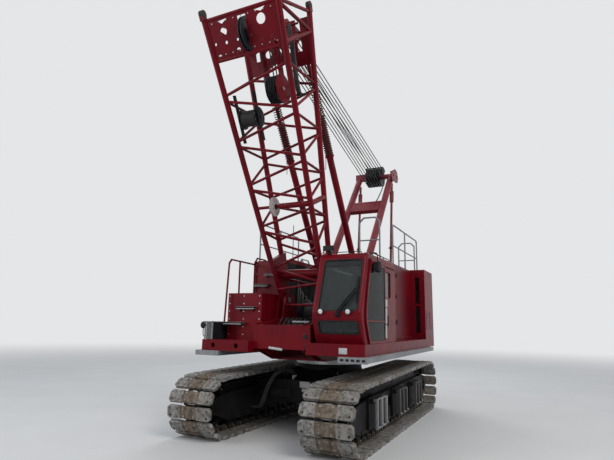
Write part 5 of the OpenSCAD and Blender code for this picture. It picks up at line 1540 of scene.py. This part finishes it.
@dataclass
class OperatorSeat(Assembly):
    """The cab's seat: padded cushion, back and head rest on a bellows stand.

    Attributes:
        middle: Place of the seat's middle to the left.
        floor: Height of the cab's floor.
    """

    middle: float = 1.1325
    floor: float = 1.7606

    def _pad(self, name: str, centre: Vector, across: Vector, along: Vector, half: Pair,
             rise: float, drop: float, channels: Sequence[float]) -> None:
        """One crowned pad with sewn channels and piping round its rim.

        Args:
            name: Name of the piece.
            centre: Middle of its rim's plane.
            across: Unit vector across the pad.
            along: Unit vector along the pad.
            half: Half its width and half its length.
            rise: Height of the crown over the rim.
            drop: Depth under the rim.
            channels: Places of the cross seams, from -1 to 1 along the pad.
        """
        out = across.cross(along).normalized()
        count = 36
        steps = [-1 + 2 * k / count for k in range(count + 1)]

        def spot(u: float, v: float, height: float) -> Vector:
            """Point of the pad; its sides pull in between the corners."""
            x = half[0] * u * (0.945 + 0.055 * v * v - 0.06 * v ** 10)
            y = half[1] * v * (0.945 + 0.055 * u * u - 0.06 * u ** 10)
            return centre + x * across + y * along + height * out

        def crown(u: float, v: float, power: float) -> float:
            """Height of the stuffing, from 0 at the rim to 1 in the middle."""
            return max(0.0, (1 - u ** 6) * (1 - v ** 6)) ** power

        top, bottom = [], []
        for u in steps:
            upper, under = [], []
            for v in steps:
                full = crown(u, v, 0.42)
                seam = sum(math.exp(-((v - place) / 0.035) ** 2) for place in channels)
                sides = sum(math.exp(-((u - place) / 0.03) ** 2) for place in (-0.62, 0.62))
                roll = -0.1 * math.cos(math.pi * u)
                lift = full * (0.86 + roll + 0.14 * (1 - v * v)) - 0.16 * full * max(seam, 0.8 * sides)
                upper.append(spot(u, v, rise * lift))
                under.append(spot(u, v, -drop * crown(u, v, 0.3)))
            top.append(upper)
            bottom.append(under)
        work = self.start(name, Finish.CLOTH)
        work.pillow(top, bottom)
        rim = [(u, -1.0) for u in steps[:-1]] + [(1.0, v) for v in steps[:-1]]
        rim += [(u, 1.0) for u in reversed(steps[1:])] + [(-1.0, v) for v in reversed(steps[1:])]
        work.tube([spot(u, v, 0.0) for u, v in rim], 0.0055, 8, Finish.RUBBER, closed=True)
        piece = work.solid()
        hang(piece, "upperworks")

    def build(self) -> None:
        """Make the stand and the pads."""
        work = self.start("seat_stand", Finish.RUBBER)
        rows = []
        for k, z in enumerate(spaced(self.floor + 0.045, 0.022, 11)):
            grow = 0.012 if k % 2 else -0.012
            x0, x1, y0, y1 = 0.87 - grow, 1.23 + grow, self.middle + (-0.15 - grow), self.middle + (0.15 + grow)
            rows.append([(x0, y0, z), (x1, y0, z), (x1, y1, z), (x0, y1, z)])
        work.rings(rows, smooth=False)
        work.block((0.85, self.middle - 0.18, self.floor + 0.001),
                   (1.25, self.middle + 0.18, self.floor + 0.045), Finish.BLACK_PAINT)
        work.block((0.83, self.middle - 0.2, self.floor + 0.265),
                   (1.27, self.middle + 0.2, self.floor + 0.322), Finish.BLACK_PAINT)
        for side in (-1, 1):
            y = self.middle + side * 0.262
            work.tube([(0.86, y, 2.24), (0.84, y, 2.34), (0.86, y, 2.405), (0.9, y, 2.42)], 0.013, 10)
            work.rings([[(x, y - w, z - h), (x, y + w, z - h), (x, y + w, z + h), (x, y - w, z + h)]
                        for x, w, h, z in ((0.86, 0.016, 0.01, 2.425), (0.9, 0.028, 0.02, 2.43),
                                           (1.1, 0.03, 0.022, 2.43), (1.15, 0.02, 0.012, 2.425))])
        for side in (-0.07, 0.07):
            work.rod((0.777, self.middle + side, 2.72), (0.762, self.middle + side, 2.8), 0.007, 10,
                     Finish.PIN_STEEL)
        work.place("upperworks", "black_rubber", bevel=0.004, replaces=("operator_seat",))
        across = Axis.Y.vector
        self._pad("seat_cushion", Vector((1.055, self.middle, self.floor + 0.385)), Axis.X.vector, across,
                  (0.262, 0.255), 0.078, 0.06, (-0.5, 0.5))
        lean = Vector((-0.132, 0.0, 0.991)).normalized()
        self._pad("seat_back", Vector((0.833, self.middle, 2.475)), across, lean, (0.245, 0.262), 0.075,
                  0.05, (-0.55, -0.1, 0.38))
        self._pad("head_rest", Vector((0.775, self.middle, 2.848)), across, lean, (0.135, 0.06), 0.05,
                  0.034, ())


@dataclass
class UpperFrame(Assembly):
    """Valves, lamps, plates and edge trim of the slewing bed and its decks, with black painted shade in its
    front bay, its holes and its catwalk's slots.
    """

    def machinery(self) -> None:
        """Fill the bed's front bay with its valve block and pipes; its black blocks are also painted shade for
        the bay's dark inside.
        """
        work = self.start("bed_valves", Finish.BLACK_PAINT)
        # Black valve block, also painted shade for the dark inside of the bay.
        work.block((1.3, -0.36, 1.62), (1.62, 0.36, 1.9))
        for y in spaced(-0.3, 0.12, 6):
            work.block((1.34, y - 0.035, 1.9), (1.58, y + 0.035, 2.02), Finish.DULL_STEEL)
            work.lathe((1.38, y, 2.02), Axis.Z, [(0.0, 0.024), (0.05, 0.024), (0.055, 0.014),
                                                 (0.09, 0.012)], 12, Finish.DULL_STEEL)
            work.tube(((1.54, y, 2.01), (1.54, y, 2.09), (1.58, y, 2.13), (1.7, y * 0.9, 2.12),
                       (1.86, y * 0.8, 2.02), (1.93, y * 0.8, 1.8)), 0.015, 10, Finish.RUBBER)
        # Second black block: painted shade low in the bay.
        work.block((1.82, -0.4, 1.62), (2.02, 0.1, 1.84))
        work.lathe((1.92, 0.14, 1.74), Axis.Y, [(0.0, 0.04), (0.02, 0.075), (0.22, 0.075), (0.24, 0.05)], 24)
        work.rod((1.3, -0.4095, 2.4), (1.3, 0.4095, 2.4), 0.028, 18, Finish.RED_PAINT)
        work.place("upperworks", "dark_paint", bevel=0.004)

    def front(self) -> None:
        """Put the grey bar, the lamp, holes and a blank plate on the front faces; each hole is a red rim round
        a black disc of painted shade.
        """
        work = self.start("bed_front_trim", Finish.PLATE)
        work.block((2.13, 0.225, 2.048), (2.232, 0.56, 2.076), Finish.WALKWAY)
        for y in (0.26, 0.52):
            work.block((2.185, y - 0.012, 1.995), (2.2, y + 0.012, 2.05), Finish.RED_PAINT)
        work.rod((2.24, -0.235, 1.585), (2.24, 0.037, 1.56), 0.024, 16)
        for y in (-0.22, 0.02):
            work.rod((2.215, y, 1.585), (2.25, y, 1.575), 0.012, 10, Finish.RUBBER)
        work.block((2.4, 1.207, 1.54), (2.404, 1.356, 1.64))
        for y, z, r in ((0.5, 1.8, 0.045), (0.5, 1.625, 0.03)):
            work.lathe((2.2195, y, z), Axis.X, [(0.0, r * 1.3), (0.004, r * 1.3), (0.005, r)], 24,
                       Finish.RED_PAINT)
            # Black disc in each hole: painted shade for its dark inside.
            work.lathe((2.2195, y, z), Axis.X, [(0.0, r), (0.0056, r)], 24, Finish.RUBBER)
        work.place("upperworks", "red_paint", bevel=0.002)

    def walkway(self) -> None:
        """Edge the left catwalk's front end with a slotted plate; its slots are thin black prisms on the face,
        painted shade for the dark seen through them.
        """
        work = self.start("walkway_edges", Finish.WALKWAY)
        y0, y1 = 1.216, 1.735
        work.block((2.458, y0, 1.398), (2.466, y1, 1.5))
        slot = ((-0.024, -0.02), (0.024, -0.02), (0.032, -0.01), (0.032, 0.01), (0.024, 0.02), (-0.024, 0.02),
                (-0.032, 0.01), (-0.032, -0.01))
        for y in spaced(y0 + 0.07, 0.095, 5):
            # Slots drawn as black prisms on the face: painted shade, not cut holes.
            work.prism([(2.4655, y + dy, 1.449 + dz) for dy, dz in slot], (0.0015, 0, 0), Finish.RUBBER)
        work.place("upperworks", "walkway_metal")

    def bolts(self) -> None:
        """Bolt the decks, the tank and the houses."""
        head = Workpiece("panel_bolts", self.shop, Finish.PIN_STEEL)
        head.lathe((0, 0, -0.001), Axis.Z, [(0.0, 0.014), (0.003, 0.014), (0.004, 0.01), (0.011, 0.01)], 6)
        pattern = Pattern(head, self.site.slew_x)
        front = (0.0, math.pi / 2, 0.0)
        right = (math.pi / 2, 0.0, 0.0)
        left = (-math.pi / 2, 0.0, 0.0)
        for z in (1.8, 1.95, 2.1, 2.25, 2.4, 2.55):
            for y in (-1.36, -1.02, -0.66):
                pattern.add((1.93, y, z), front)
        for z in (2.7, 2.9, 3.1, 3.3):
            for y in (-1.36, -0.66):
                pattern.add((0.97, y, z), front)
        for x in (-2.4, -2.0, -1.6, -1.2, -0.8, -0.4, 0.0):
            pattern.add((x, 1.27, 3.42), left)
            pattern.add((x, 1.27, 1.76), left)
            pattern.add((x - 0.06, -1.635, 3.42), right)
        for z in (1.8, 2.15, 2.5, 2.85, 3.2, 3.42):
            pattern.add((-3.44, 1.635, z), left)
            pattern.add((-2.56, 1.635, z), left)
        pattern.place("upperworks", "bright_steel")

    def build(self) -> None:
        """Make all of it."""
        self.machinery()
        self.front()
        self.walkway()
        self.bolts()


@dataclass
class Houses(Assembly):
    """Seams, latches, hinges and louvres of the engine house, the machinery house and the air intake."""

    def panels(self) -> None:
        """Draw the dark seams, louvres and latches of the left side."""
        work = self.start("house_panels", Finish.RUBBER)
        for x in (-1.92, -1.16, -0.4):
            work.block((x - 0.004, 1.269, 1.72), (x + 0.004, 1.2725, 3.44))
        for z in (1.725, 3.38):
            work.block((-2.48, 1.269, z), (0.2, 1.2725, z + 0.006))
        for z0, z1 in ((1.87, 2.51), (2.62, 3.26)):
            for z in spaced(z0, 0.045, int((z1 - z0) / 0.045)):
                work.prism([(-2.506, 1.385, z), (-2.545, 1.385, z + 0.034), (-2.549, 1.385, z + 0.032),
                            (-2.512, 1.385, z)], (0, 0.12, 0), Finish.BLACK_PAINT)
        for x in (-3.3, -2.9):
            for z in spaced(1.95, 0.055, 9):
                work.louvre((x, 1.634, z), (0, 0.014, 0), (0.28, 0, 0), 3 / 7, Finish.RED_PAINT)
        for z in (2.05, 2.65, 3.15):
            work.block((-1.1, 1.269, z), (-1.02, 1.282, z + 0.1), Finish.BLACK_PAINT)
        work.place("upperworks", "red_paint")

    def doors(self) -> None:
        """Put latches and louvres on both engine doors."""
        for name, x0 in (("rear_engine_door", -2.3), ("front_engine_door", -0.9)):
            work = self.start(name + "_trim", Finish.RED_PAINT)
            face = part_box(name)[0].y + 0.002
            for z in spaced(2.35, 0.055, 12):
                work.louvre((x0 + 0.3, face, z), (0, -0.014, 0), (0.7, 0, 0))
            for z in (2.02, 2.92):
                work.block((x0 + 1.16, face - 0.016, z), (x0 + 1.24, face, z + 0.11), Finish.BLACK_PAINT)
            work.place(name, "dark_paint", bevel=0.0015)

    def tops(self) -> None:
        """Put the exhaust, the filler caps and lifting eyes on the roofs."""
        work = self.start("house_roof_fittings", Finish.BLACK_PAINT)
        for x, r in ((-1.9, 0.085), (-2.4, 0.05)):
            work.lathe((x, -1.15, 3.458), Axis.Z, [(0.0, r + 0.03), (0.015, r + 0.03), (0.02, r), (0.16, r),
                                                   (0.165, r + 0.006), (0.175, r + 0.006),
                                                   (0.176, r - 0.01)], 28)
        work.lathe((0.72, -1.0, 3.374), Axis.Z, [(0.0, 0.07), (0.01, 0.07), (0.014, 0.055), (0.045, 0.055),
                                                 (0.05, 0.045)], 24)
        for x in (-2.2, -0.2):
            for y in (0.8, -0.8):
                work.tube([(x + 0.06 * math.cos(a), y, 3.455 + 0.075 * math.sin(a))
                           for a in spaced(0.0, math.pi / 10, 11)], 0.012, 10, Finish.RED_PAINT)
        work.place("upperworks", "dark_paint")

    def rear(self) -> None:
        """Hang louvred doors with hinges, latches and lamps on the two rear faces."""
        work = self.start("rear_house_doors", Finish.RED_PAINT)
        for y0, y1 in ((-1.56, -0.78), (0.78, 1.56)):
            work.block((-3.51, y0, 1.78), (-3.499, y1, 3.36))
            for z in spaced(2.42, 0.056, 14):
                work.louvre((-3.509, y0 + 0.12, z), (-0.014, 0, 0), (0, y1 - y0 - 0.24, 0))
            outer, inner = (y0, y1) if y0 < 0 else (y1, y0)
            for z in (1.92, 2.3, 3.2):
                work.rod((-3.512, outer, z), (-3.512, outer, z + 0.1), 0.012, 12, Finish.PIN_STEEL)
            for z in (2.05, 2.3):
                y = inner + (0.05 if inner < outer else -0.05)
                work.block((-3.524, y - 0.03, z), (-3.509, y + 0.03, z + 0.09), Finish.BLACK_PAINT)
            middle = (y0 + y1) / 2
            work.block((-3.52, middle - 0.11, 1.84), (-3.509, middle + 0.11, 1.95), Finish.RUBBER)
            for shift in (-0.055, 0.055):
                work.lathe((-3.519, middle + shift, 1.895), -Axis.X.vector,
                           [(0.0, 0.044), (0.008, 0.042), (0.014, 0.03)], 20, Finish.LENS)
        work.place("upperworks", "red_paint", bevel=0.002)

    def build(self) -> None:
        """Make all of it."""
        self.panels()
        self.doors()
        self.tops()
        self.rear()


@dataclass
class BoomTrim(Assembly):
    """Lacing of the boom's foot, and the ropes, hoses and bushings at its head.

    Attributes:
        bar: Radius of a lacing bar.
    """

    bar: float = 0.026

    def foot(self) -> None:
        """Carry the zigzag lacing down between the foot's legs."""
        work = self.start("boom_foot_lacing", Finish.RED_PAINT)
        for back, stops in ((-1, (0.3, 0.42, 0.76, 1.16)), (1, (0.17, 0.39, 0.77, 1.15))):
            side = -1 if back < 0 else 1
            for a, b in zip(stops, stops[1:]):
                work.rod(self.site.chord(a, side, back), self.site.chord(b, -side, back), self.bar, 14)
                side = -side
        work.place("boom", "red_paint")

    def head(self) -> None:
        """Run ropes and hoses through the head, and bush its eyes in black."""
        on = self.site.on_boom
        work = self.start("boom_head_ropes", Finish.ROPE)
        for y in (-0.03, 0.04, 0.11, 0.18):
            work.rod(on(4.2, y, 0.274), on(5.34, y, 0.274), 0.0125, 10)
        work.rod(on(4.2, 0.04, -0.274), on(5.12, 0.01, -0.182), 0.0125, 10)
        for k in range(4):
            y, d = 0.4 + 0.045 * k, 0.3 - 0.055 * k
            path = [on(*p) for p in ((5.3, y, d), (5.0, y + 0.01, d + 0.01), (4.62, y, d),
                                     (4.22, y - 0.01, d - 0.01), (4.02, y, d))]
            work.tube(path, 0.019, 10, Finish.HOSE)
            work.lathe(on(4.06, y, d), on(1, 0, 0) - on(0, 0, 0),
                       [(-0.05, 0.022), (-0.045, 0.028), (0.0, 0.028), (0.01, 0.022)], 8, Finish.CHAIN)
        work.rod(on(4.03, 0.3, 0.1), on(4.03, 0.62, 0.24), 0.02, 10, Finish.CHAIN)
        work.rod(on(5.28, 0.3, 0.26), on(5.28, 0.66, 0.22), 0.022, 10, Finish.RED_PAINT)
        work.rod(on(5.33, -0.12, 0.274), on(5.33, 0.3, 0.274), 0.028, 12, Finish.RED_PAINT)
        eyes = self.start("boom_head_bushings", Finish.CHAIN)
        for side in (-1, 1):
            for back in (-1, 1):
                eyes.lathe(self.site.chord(5.64, side, back), Axis.Y,
                           mirrored((0.043, 0.034), (0.0425, 0.066), (0.039, 0.0712)), 28)
        eyes.place("boom", "red_paint")
        bolts = Workpiece("head_plate_bolts", self.shop, Finish.PIN_STEEL)
        bolts.lathe((0, 0, -0.001), Axis.Z, [(0.0, 0.013), (0.004, 0.013), (0.005, 0.01), (0.012, 0.009)], 6)
        pattern = Pattern(bolts, self.site.slew_x)
        facing = (0.0, math.pi / 2 + (math.pi / 2 - self.site.rise), 0.0)
        for along in (4.9, 5.44):
            for y in spaced(-0.6, 0.15, 9):
                pattern.add(on(along, y, -self.site.half(along)[1] - 0.012), facing)
        pattern.place("boom", "bright_steel")
        work.place("boom", "wire_rope")

    def build(self) -> None:
        """Make all of it."""
        self.foot()
        self.head()


@dataclass
class FrontStairs(Assembly):
    """The serrated treads on the tank and the slatted step box before it."""

    def build(self) -> None:
        """Make the treads, their brackets, the slatted box and the round mirror by it."""
        work = self.start("stair_treads", Finish.WALKWAY)
        for x0, x1, y0, y1, z in ((1.931, 2.089, -1.399, -0.97, 2.036), (1.931, 2.02, -1.15, -0.73, 2.335),
                                  (0.971, 1.06, -1.355, -1.01, 2.86), (0.971, 1.06, -1.115, -0.76, 3.095)):
            work.block((x0, y0, z - 0.03), (x1, y1, z - 0.004))
            # Paler front lip: painted highlight, so the edge reads as lit while the tread sits in shade.
            work.block((x1 - 0.008, y0, z - 0.042), (x1, y1, z), Finish.PLATE)
            work.block((x0, y0, z - 0.036), (x1, y0 + 0.006, z + 0.004))
            work.block((x0, y1 - 0.006, z - 0.036), (x1, y1, z + 0.004))
            for y in spaced(y0 + 0.014, 0.032, int((y1 - y0) / 0.032)):
                work.block((x0 + 0.012, y, z - 0.006), (x1 - 0.012, y + 0.012, z))
            for y in (y0 + 0.05, y1 - 0.07):
                work.prism([(x0 - 0.0005, y, z - 0.03), (x0 + 0.06, y, z - 0.03),
                            (x0 - 0.0005, y, z - 0.1)], (0, 0.012, 0), Finish.RED_PAINT)
        x0, x1, y0, y1, z0, z1 = 1.592, 2.378, -1.618, -1.427, 1.702, 2.044
        for x, y in ((x0, y0), (x0, y1 - 0.02), (x1 - 0.02, y0), (x1 - 0.02, y1 - 0.02)):
            work.block((x, y, z0), (x + 0.02, y + 0.02, z1))
        work.block((x0 + 0.02, y0 + 0.03, z0), (x1 - 0.03, y1 - 0.03, z1 - 0.02), Finish.WINCH_PAINT)
        for z in spaced(z0 + 0.012, 0.038, 9):
            work.prism([(x1 - 0.002, y0 + 0.002, z), (x1 - 0.026, y0 + 0.002, z + 0.022),
                        (x1 - 0.028, y0 + 0.002, z + 0.018), (x1 - 0.006, y0 + 0.002, z - 0.004)],
                       (0, y1 - y0 - 0.004, 0))
            work.prism([(x0 + 0.002, y0 + 0.001, z), (x0 + 0.002, y0 + 0.022, z + 0.022),
                        (x0 + 0.002, y0 + 0.026, z + 0.018), (x0 + 0.002, y0 + 0.004, z - 0.004)],
                       (x1 - x0 - 0.004, 0, 0))
        work.block((x0, y0, z1 - 0.018), (x1, y1, z1))
        work.place("upperworks", "walkway_metal", replaces=("front_stairs",))
        mirror = self.start("step_mirror", Finish.RUBBER)
        mirror.lathe((2.35, -1.655, 1.97), Axis.X,
                     [(0.0, 0.058), (0.008, 0.068), (0.02, 0.068), (0.04, 0.046), (0.052, 0.016)], 28)
        mirror.lathe((2.348, -1.655, 1.97), Axis.X, [(0.0, 0.05), (0.003, 0.057)], 28, Finish.MIRROR)
        mirror.tube([(2.365, -1.655, 1.905), (2.365, -1.655, 1.8), (2.365, -1.64, 1.76),
                     (2.365, -1.6, 1.74)], 0.008, 10)
        mirror.place("upperworks", "black_rubber")


@dataclass
class BayPanel(Assembly):
    """The dark cooler panel with its pipes on the inner side of the engine house."""

    def build(self) -> None:
        """Make the grille, its frame and the pipes before it."""
        work = self.start("engine_bay_grille", Finish.BLACK_PAINT)
        x0, x1, y, z0, z1 = -1.3, 0.485, -0.69, 2.1, 3.37
        work.block((x0, y - 0.004, z0), (x1, y + 0.006, z1), Finish.RUBBER)
        for a, b in (((x0, z0), (x1, z0 + 0.03)), ((x0, z1 - 0.03), (x1, z1)), ((x0, z0), (x0 + 0.03, z1)),
                     ((x1 - 0.03, z0), (x1, z1)), ((-0.42, z0), (-0.39, z1))):
            work.block((a[0], y, a[1]), (b[0], y + 0.022, b[1]))
        for z in spaced(z0 + 0.045, 0.04, 30):
            work.prism([(x0 + 0.02, y + 0.004, z), (x0 + 0.02, y + 0.02, z + 0.01),
                        (x0 + 0.02, y + 0.018, z + 0.014), (x0 + 0.02, y + 0.004, z + 0.008)],
                       (x1 - x0 - 0.04, 0, 0))
        work.block((0.505, -0.6125, 2.64), (0.93, -0.6085, 3.34))
        for k, x in enumerate((0.36, 0.26, 0.12, -0.1)):
            work.tube([(x, y, 2.95 - 0.1 * k), (x, y + 0.05, 2.95 - 0.1 * k),
                       (x + 0.01, y + 0.09, 2.88 - 0.1 * k), (x + 0.04, y + 0.09, 2.5),
                       (x + 0.03, y + 0.08, 2.2), (x, y + 0.05, 2.06), (x, y + 0.01, 2.0)], 0.022, 10,
                      Finish.HOSE)
        work.place("upperworks", "dark_paint")


@dataclass
class GantryTrim(Assembly):
    """The chain, shackles and head details of the gantry.

    Attributes:
        axle: Place of the head sheaves' axle along X and Z.
    """

    axle: Point = (-3.56, 6.5)

    def rim(self, radius: float, angle: float, y: float) -> Vector:
        """Point about the sheaves' axle, its angle in degrees."""
        return Vector((self.axle[0], y, self.axle[1])) + upright(radius, math.radians(angle))

    def build(self) -> None:
        """Hang a short chain from the head to the brace, and shackle both links."""
        link = Workpiece("gantry_chain", self.shop, Finish.CHAIN)
        ring = [(0.02 * math.cos(a) + math.copysign(0.016, math.cos(a)), 0.014 * math.sin(a), 0.0)
                for a in (math.tau * (k + 0.5) / 10 for k in range(10))]
        link.tube(ring, 0.0065, 5, closed=True)
        pattern = Pattern(link, self.site.slew_x)
        start, end = Vector((-3.5, 0.26, 6.19)), Vector((-2.64, 0.26, 5.44))
        move = end - start
        count = int(move.length / 0.052)
        for k in range(count + 1):
            share = k / count
            spot = start + share * move - Vector((0, 0, 0.05 * 4 * share * (1 - share)))
            pattern.add(spot, (math.pi / 2 * (k % 2), math.atan2(-move.z, move.x), 0.0))
        pattern.place("upperworks", "dark_paint")
        work = self.start("gantry_shackles", Finish.BLACK_PAINT)
        for side in (-0.5, 0.5):
            for share, radius in ((0.3, 0.052), (0.34, 0.044), (0.52, 0.05)):
                spot = Vector((-3.18 - 0.44 * share, side, 2.08 + 4.19 * share))
                work.lathe(spot, Vector((-0.1044, 0.0, 0.9945)), mirrored((0.035, 0.036), (0.03, radius)), 18,
                           Finish.RED_PAINT)
                out = 0.075 * Axis.Y.vector
                work.rod(spot - out, spot + out, 0.014, 10, Finish.PIN_STEEL)
        for y0, y1 in ((-0.255, -0.235), (0.235, 0.255)):
            for angle in (60, 120, 180):
                work.rod(self.rim(0.305, angle, y0), self.rim(0.305, angle, y1), 0.014, 8)
        for y in (-0.246, 0.246):
            arc = [(0.322, a) for a in range(50, 131, 8)]
            outline = arc + [(0.085, a) for _, a in reversed(arc)]
            work.prism([self.rim(r, a, y) for r, a in outline], (0, math.copysign(0.008, y), 0))
        for angle in (60, 90, 120):
            work.rod(self.rim(0.312, angle, -0.246), self.rim(0.312, angle, 0.246), 0.009, 8)
        work.place("upperworks", "dark_paint")


@dataclass
class Studio:
    """Floor, lamps, sky and camera.

    Attributes:
        site: The crane's places.
        eye: Camera's place from the slew centre, in metres.
        yaw: Turn of the view from straight back, in radians.
        pitch: Angle of the view over level, in radians.
        roll: Roll of the camera, in radians.
        focal: Focal length as a share of the frame's width.
        sensor: Width of the camera's sensor, in millimetres.
        extent: Radius of the floor, in metres.
        fade: Distances from the crane where the floor starts and ends to fade.
    """

    site: Site
    eye: Point = (10.002, 4.265, 2.024)
    yaw: float = 0.452
    pitch: float = 0.196
    roll: float = 0.019
    focal: float = 473.4 / 614
    sensor: float = 36.0
    extent: float = 160.0
    fade: Pair = (9.0, 42.0)

    def camera(self) -> None:
        """Set the camera at the photograph's angle."""
        level = math.cos(self.pitch)
        forward = Vector((-math.cos(self.yaw) * level, -math.sin(self.yaw) * level, math.sin(self.pitch)))
        right = forward.cross(Axis.Z.vector).normalized()
        up = right.cross(forward)
        c, s = math.cos(self.roll), math.sin(self.roll)
        right, up = c * right + s * up, -s * right + c * up
        data = bpy.data.cameras.new("camera")
        data.sensor_fit = "HORIZONTAL"
        data.sensor_width = self.sensor
        data.lens = self.focal * self.sensor
        data.clip_end = 2.5 * self.extent
        camera = bpy.data.objects.new("camera", data)
        matrix = Matrix((right, up, -forward)).transposed().to_4x4()
        matrix.translation = self.site.at(*self.eye)
        camera.matrix_world = matrix
        bpy.context.scene.collection.objects.link(camera)
        bpy.context.scene.camera = camera

    def lamp(self, name: str, place: Point, aim: Point, size: float, power: float, colour: Colour) -> None:
        """Add a soft square lamp.

        Args:
            name: Name of the lamp.
            place: Where it stands.
            aim: Where it points.
            size: Side of its square.
            power: Power in watts.
            colour: Colour of its light.
        """
        data = bpy.data.lights.new(name, "AREA")
        data.size, data.energy, data.color = size, power, colour
        lamp = bpy.data.objects.new(name, data)
        lamp.location = place
        lamp.rotation_euler = (Vector(aim) - Vector(place)).to_track_quat("-Z", "Y").to_euler()
        bpy.context.scene.collection.objects.link(lamp)

    def floor(self) -> None:
        """Lay the pale floor, which fades into the backdrop far from the crane."""
        tree = ShaderTree(bpy.data.materials.new("studio_floor"))
        shade = tree.ramp(tree.noise(0.6, 3.0), 0.2, 0.8)
        colour = tree.blend(shade, (0.62, 0.62, 0.61), (0.66, 0.66, 0.65))
        near = tree.surface(Base_Color=colour, Roughness=0.85)
        reach = tree.node("ShaderNodeVectorMath", {0: tree.coords}, operation="LENGTH").outputs["Value"]
        far = tree.node("ShaderNodeEmission", {"Color": BACKDROP})
        tree.either(tree.calc("MULTIPLY", tree.ramp(reach, *self.fade), tree.direct()), near, far)
        work = bmesh.new()
        bmesh.ops.create_circle(work, cap_ends=True, segments=96, radius=self.extent)
        data = bpy.data.meshes.new("studio_floor")
        work.to_mesh(data)
        work.free()
        data.materials.append(tree.owner)
        floor = bpy.data.objects.new("studio_floor", data)
        bpy.context.scene.collection.objects.link(floor)

    def sky(self) -> None:
        """Light the scene evenly, with a pale backdrop for the camera."""
        world = bpy.data.worlds.new("studio_sky")
        bpy.context.scene.world = world
        tree = ShaderTree(world, "ShaderNodeOutputWorld")
        light = tree.node("ShaderNodeBackground", {"Color": (0.86, 0.91, 1.0), "Strength": 0.50})
        backdrop = tree.node("ShaderNodeBackground", {"Color": BACKDROP})
        tree.either(tree.direct(), light, backdrop)

    def build(self) -> None:
        """Set up the whole studio."""
        bpy.context.scene.view_settings.view_transform = "Standard"
        self.camera()
        self.floor()
        self.sky()
        self.lamp("key", (9.0, 12.0, 15.0), (0.0, 0.0, 3.0), 9.0, 1500.0, (1.0, 0.97, 0.93))
        self.lamp("fill", (12.0, -10.0, 8.0), (0.0, 0.0, 3.0), 8.0, 600.0, (0.92, 0.96, 1.0))
        self.lamp("rim", (-12.0, -4.0, 14.0), (0.0, 0.0, 4.0), 9.0, 900.0, (0.95, 0.98, 1.0))


@dataclass
class NodeFinishes:
    """Finish of each CAD node that stays as it is.

    Attributes:
        shop: Finishes.
        record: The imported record.
    """

    shop: Paintshop
    record: dict

    def build(self) -> None:
        """Dress every CAD node by its slot, and some by their names."""
        by_slot = {
            "red_paint": Finish.RED_PAINT, "dark_paint": Finish.BLACK_PAINT, "track_steel": Finish.SHOE_STEEL,
            "bright_steel": Finish.PIN_STEEL, "walkway_metal": Finish.WALKWAY, "wire_rope": Finish.ROPE,
            "winch_paint": Finish.WINCH_PAINT, "black_rubber": Finish.RUBBER, "seat_fabric": Finish.CLOTH,
            "engine_metal": Finish.ENGINE, "window_glass": Finish.GLASS,
        }
        for row in self.record["subparts"]:
            self.shop.dress(by_slot[row["material_slot"]], row["node"])
        self.shop.dress(Finish.DOOR_GLASS, "cab_door_glass")
        # The gantry takes the red with the painted sky sheen.
        self.shop.dress(Finish.FADED_RED, "gantry_legs", "gantry_links", "gantry_head")


def main() -> None:
    """Build the studio and every sub-assembly."""
    logging.basicConfig(level=logging.INFO, format="%(message)s")
    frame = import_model()
    site = Site(frame)
    shop = Paintshop()
    Studio(site).build()
    NodeFinishes(shop, frame["record"]).build()
    for part in (Undercarriage, Tracks, BoomStops, HoistRopes, Sheaves, Winches, Cab, OperatorSeat, UpperFrame,
                 Houses, BoomTrim, FrontStairs, BayPanel, GantryTrim):
        part(site, shop).build()


if __name__ == "__main__":
    main()
